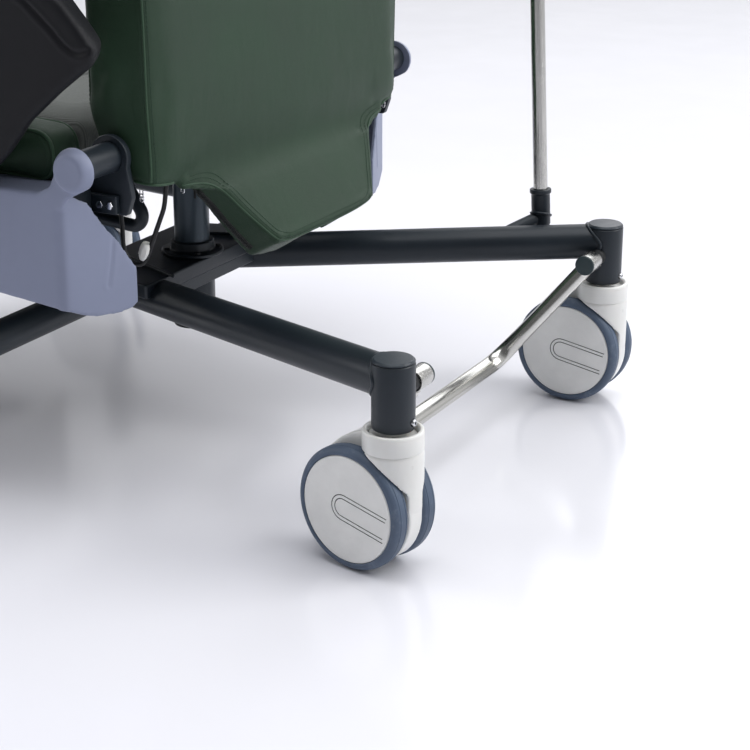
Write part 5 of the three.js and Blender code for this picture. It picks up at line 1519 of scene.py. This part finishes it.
# ================================================================ actuators
for nm, A, a, b, tube_len, tail in (("back", -75, (-720, 330), (-344, 338), 215, 161), ("legrest", 75, (-600, 345), (-873, 311), 165, 110)):
    L = math.hypot(b[0] - a[0], b[1] - a[1])
    d = Vector((0, (b[0] - a[0]) / L, (b[1] - a[1]) / L))
    o3 = Vector((A, a[0], a[1]))
    tail_ob = Geo()
    tail_ob.add(*lathe(fil([(4.6, -6.8, 0), (9, -6.8, 0.8), (9, 6.8, 0.8), (4.6, 6.8, 0)]), o3, (1, 0, 0), 40, True))
    tail_ob.add(*lathe(fil([(0, 8), (5.8, 8, 0), (5.8, 25, 0), (0, 25)], closed=False), o3, d, 32))
    make(f"{nm}_actuator_eye", tail_ob, M["steel_n"], f"{nm}_actuator")
    body = fil([(8.7, 57, 0), (8.7, tube_len, 0), (10.2, tube_len, 0.4), (11, tube_len - 3, 0.6), (16, tube_len - 4, 1.2), (16.6, tube_len - 12, 0.8), (15.4, tube_len - 13, 0.5), (15.4, tube_len - 18, 0.5), (17, tube_len - 19, 0.8),
                (17, 74, 0), (17, 72, 0.6), (16, 71, 0.4), (16, 69, 0.4), (17, 68, 0.6), (17, 27, 1.5), (14, 24, 1.5), (0.001, 24, 0), (0.001, 57, 0)], steps=4)
    make(f"{nm}_actuator_body", lathe(body, o3, d, 64, True), M["actuator"], f"{nm}_actuator", f"{nm}_actuator_tube", 32)
    mo = o3 + d * 40
    mot = Geo().add(*lathe(fil([(0, 0), (13.6, 0, 0), (13.6, -24, 1.5), (11.5, -27, 1.2), (0, -27)], closed=False), mo, (0, 0, 1), 48))
    for k in range(10):
        ang = 2 * pi * k / 10
        v, f = rbox(12.6, 14.2, -0.8, 0.8, -24, -10, 0.3)
        Rm = Matrix.Rotation(ang, 3, "Z")
        mot.add([mo + Rm @ Vector(p) for p in v], f)
    make(f"{nm}_actuator_motor", mot, M["actuator"], f"{nm}_actuator")
    rodm = Geo().add(*lathe(fil([(0, tail), (7.4, tail, 0.4), (8, tail + 1, 0.4), (8, L - 22, 0), (8, L - 16, 1.5), (6, L - 12, 1), (6, L - 8, 0), (0, L - 8)], closed=False), o3, d, 40))
    make(f"{nm}_actuator_rod_bar", rodm, M["zinc"], f"{nm}_actuator_rod", f"{nm}_actuator_rod")
    ey = Geo().add(*lathe(fil([(3.6, -6.8, 0), (9, -6.8, 0.8), (9, 6.8, 0.8), (3.6, 6.8, 0)]), (A, b[0], b[1]), (1, 0, 0), 40, True))
    make(f"{nm}_actuator_rod_eye", ey, M["steel_n"], f"{nm}_actuator_rod")

# ============================================================== control box
g = Geo().add(*rbox(-272, -138, -700, -580, 352, 386, 6, 3)).add(*rbox(-273, -137, -701, -579, 387, 401.4, 5, 1.2))
make("control_box_case", g, M["black"], "seat_lift", "control_box", weighted=True)
g = Geo()
for x in (-264, -146):
    for y in (-692, -588):
        g.add(*lathe(fil([(0, 0), (3.4, 0, 0), (3.4, -1.6, 0.5), (0, -1.9)], closed=False), (x, y, 352), (0, 0, 1), 24))
make("control_box_screws", g, M["zinc"], "seat_lift")
g = Geo()
for x in (-205, -228, -182):
    g.add(*lathe(fil([(4.2, 0, 0), (7.6, 0, 0), (7.6, 4, 0.6), (6.4, 4.6, 0.3), (6.4, 11, 0.8), (4.2, 13.5, 0.5)]), (x, -580.4, 372), (0, 1, 0), 32, True))
make("control_box_glands", g, M["black"], "seat_lift")
lead = raw("back_motor_lead", sweep(bent([(-205, -572, 372), (-205, -548, 372), (-170, -520, 352), (-99, -640, 344), (-101, -669, 322), (-86, -680, 312)], [14, 14, 14, 7], arc=8), 2.6, 14, False, 0.4), M["cable"])
smooth(lead, 60)
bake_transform(lead)
g = Geo().add(*sweep(bent([(-182, -572, 372), (-182, -552, 372), (-150, -538, 330), (-75, -540, 305), (-8, -552, 320), (66, -566, 346)], 14, arc=8), 2.6, 14, False, 0.4))
make("leg_motor_lead", g, M["cable"], "seat_lift", angle=60)

# ==================================================== cable to the back, plug
pts = [(286, -404, 388), (268, -396, 380), (262, -398, 345), (262, -398, 312), (262, -384, 294), (261, -368, 298), (260, -352, 337), (258, -338, 372), (256, -334, 409)]
P = bent(pts, [10, 14, 18, 14, 12, 18, 12], arc=8)
P = resample(P, 3.0)
P = ironed(P, False, 6)
cb = raw("hand_control_cable", sweep(P, 2.9, 16, False, 0.5), M["cable"])
smooth(cb, 60)
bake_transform(cb)
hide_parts("control_cable")
plug = Geo().add(*lathe(fil([(0, -12), (3.6, -12, 1.5), (5.8, -7, 3), (6.9, 0, 4), (6.6, 7, 2), (5.0, 11.5, 1.5), (0, 12)], closed=False, steps=6), (262, -366.5, 315), Vector((0.02, 0.33, 0.94)), 40))
for k in range(8):
    a = 2 * pi * k / 8
    u, v_, w = axes(Vector((0.02, 0.33, 0.94)))
    c = Vector((262, -366.5, 315)) + (u * cos(a) + v_ * sin(a)) * 6.4
    plug.add(*sweep([c - w * 4.5, c + w * 5.5], 0.9, 8, False, 0.3))
pg = raw("cable_plug", plug, M["plug"])
smooth(pg, 50)
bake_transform(pg)

# ================================================================== legrest
g = Geo()
g.add(*rbox(-291, 291, -904.4, -897, 319, 345, 1.5)).add(*rbox(-234, 234, -904.4, -897, 161, 345, 3))
for s in (1, -1):
    armp = [(-904, 330, 3)] + [(-893 + 11.5 * cos(rad(t)), 398 + 11.5 * sin(rad(t))) for t in range(180, -1, -15)] + [(-881.5, 330, 3)]
    g.add(*slab(fil(armp, steps=3), "yz", *((283, 293) if s > 0 else (-293, -283)), 1.4, 3))
    for a, b in ((-13, -9), (9, 13)):
        pass
    for x0, x1 in ((168, 172.6), (195.4, 200)):
        g.add(*rbox(*((x0, x1) if s > 0 else (-x1, -x0)), -897.4, -868, 161, 299, 1.0))
    g.add(*rbox(*((168, 200) if s > 0 else (-200, -168)), -872.6, -868, 161, 299, 1.0))
lug = [(-898, 294, 2), (-898, 333, 2), (-864, 322, 4)] + [(-873 + 11 * cos(rad(t)), 311 + 11 * sin(rad(t))) for t in range(30, -91, -20)]
for a, b in ((-13, -9), (9, 13)):
    g.add(*slab(fil(lug, steps=3), "yz", 75 + a, 75 + b, 0.9))
make("legrest_frame_plate", g, M["paint"], "legrest", "legrest_frame", weighted=True)
g = Geo()
for s in (1, -1):
    g.add(*rbox(*((173.6, 194.4) if s > 0 else (-194.4, -173.6)), -891.4, -873.6, 133, 296, 3.0))
make("footrest_bars", g, M["steel_z"], "footrest", "footrest_slide", weighted=True)
g = Geo().add(*rbox(-200, 200, -891.4, -873.6, 120.4, 139.6, 3.0))
for s in (1, -1):
    g.add(*lathe(fil([(0, 0), (5, 0, 0), (5, 13.6, 0.6), (0, 14)], closed=False), (s * 200, -882, 130), (s, 0, 0), 28))
make("footrest_crossbar", g, M["steel_x"], "footrest", weighted=True)
fp = fil([(-1084, 143.4, 1.4), (-1085, 148, 2), (-1078, 151.2, 3), (-900, 156, 2), (-897, 150, 2), (-898, 143.4, 1)], steps=4)
g = Geo().add(*slab(fp, "yz", -214, 214, 5, 4))
for s in (1, -1):
    ear = [(-905, 145, 1)] + [(-882 + 9 * cos(rad(t)), 130 + 9 * sin(rad(t))) for t in range(-90, 91, 15)] + [(-900, 148, 1)]
    g.add(*slab(fil(ear, steps=3), "yz", *((203, 211) if s > 0 else (-211, -203)), 1.2, 3))
make("foot_plate_shell", g, M["black"], "foot_plate", "foot_plate", weighted=True)
g = Geo()
for k in range(17):
    y = -1068 + k * 9.6
    z = 151.6 + (y + 1078) * (156 - 151.2) / 178
    g.add(*slab(fil([(y, z - 1.5, 0), (y + 5.0, z - 1.5, 0), (y + 4.6, z + 1.6, 1.0), (y + 0.4, z + 1.5, 1.0)], steps=3), "yz", -196, 196, 1.2, 2))
g.add(*slab(fil([(-1074, 149, 0), (-1074, 151.9, 0.8), (-908, 156.4, 0.8), (-908, 153, 0)], steps=3), "yz", -203, 203, 0.8, 2))
make("foot_plate_mat", g, M["rubber"], "foot_plate", angle=35, weighted=True)


# ===================================================== stage, light and camera
def area(name, loc, target, size, power, col=(1, 1, 1), sy=None):
    l = bpy.data.lights.new(name, "AREA")
    l.shape = "RECTANGLE"
    l.size, l.size_y = size, sy or size
    l.energy, l.color = power, col
    o = link(bpy.data.objects.new(name, l))
    o.location = loc
    o.rotation_euler = (Vector(target) - Vector(loc)).to_track_quat("-Z", "Y").to_euler()
    return o


def floor_material():
    n = Nodes("studio_floor")
    soft = n.noise(0.9, 3, 0.5)
    col = n.mix(n.map(soft, 0.3, 0.7, 0.0, 1.0), (0.800, 0.800, 0.850), (0.835, 0.835, 0.880))
    r = n.map(n.noise(6.0, 3), 0.3, 0.7, 0.13, 0.19)
    return n.set(Base_Color=col, Roughness=r, Normal=n.bump(n.noise(40.0, 2), 0.0004, 0.04), Specular_IOR_Level=0.5)


me = bpy.data.meshes.new("floor")
me.from_pydata([(-14, -14, -0.0006), (14, -14, -0.0006), (14, 14, -0.0006), (-14, 14, -0.0006)], [], [(0, 1, 2, 3)])
me.materials.append(floor_material())
floor = link(bpy.data.objects.new("floor", me))

world = bpy.data.worlds.new("studio")
scene.world = world
world.use_nodes = True
wt = world.node_tree
bg = wt.nodes["Background"]
bg.inputs["Color"].default_value = (0.965, 0.970, 1.0, 1.0)
# paler to the eye than as a light, and darkest on the +X side, as if a black screen stood there
tc, sep, mr = wt.nodes.new("ShaderNodeTexCoord"), wt.nodes.new("ShaderNodeSeparateXYZ"), wt.nodes.new("ShaderNodeMapRange")
mr.inputs["From Min"].default_value, mr.inputs["From Max"].default_value = 0.05, 0.75
mr.inputs["To Min"].default_value, mr.inputs["To Max"].default_value = 0.74, 0.16
mr.interpolation_type = "SMOOTHSTEP"
lp, mx = wt.nodes.new("ShaderNodeLightPath"), wt.nodes.new("ShaderNodeMix")
mx.data_type = "FLOAT"
mx.inputs["B"].default_value = 0.95
wt.links.new(tc.outputs["Generated"], sep.inputs["Vector"])
wt.links.new(sep.outputs["X"], mr.inputs["Value"])
wt.links.new(lp.outputs["Is Camera Ray"], mx.inputs["Factor"])
wt.links.new(mr.outputs["Result"], mx.inputs["A"])
wt.links.new(mx.outputs["Result"], bg.inputs["Strength"])
scene.view_settings.view_transform = "Standard"
scene.view_settings.look = "None"
scene.view_settings.exposure = 0.0

area("key_rear", (-1.5, 3.6, 3.0), (0.0, 0.2, 0.4), 2.6, 98, (1.0, 0.995, 0.98))
area("top_soft", (0.3, 0.3, 3.6), (0.1, 0.1, 0.3), 3.0, 60, (0.97, 0.98, 1.0))
area("far_fill", (-3.8, 0.2, 2.6), (-0.4, 0.2, 0.2), 2.6, 42, (0.97, 0.98, 1.0))
area("front_fill", (0.8, -3.6, 2.0), (0.0, -0.2, 0.5), 2.6, 50, (1.0, 1.0, 1.0))

cam = bpy.data.cameras.new("camera")
cam.sensor_width, cam.lens = 36.0, 89.03
cam.clip_start, cam.clip_end = 0.05, 60
co = link(bpy.data.objects.new("camera", cam))
co.location = (2.01948, 1.4198, 0.9488)
co.rotation_mode = "QUATERNION"
co.rotation_quaternion = Vector((-0.8254, -0.4459, -0.3463)).to_track_quat("-Z", "Y")
scene.camera = co
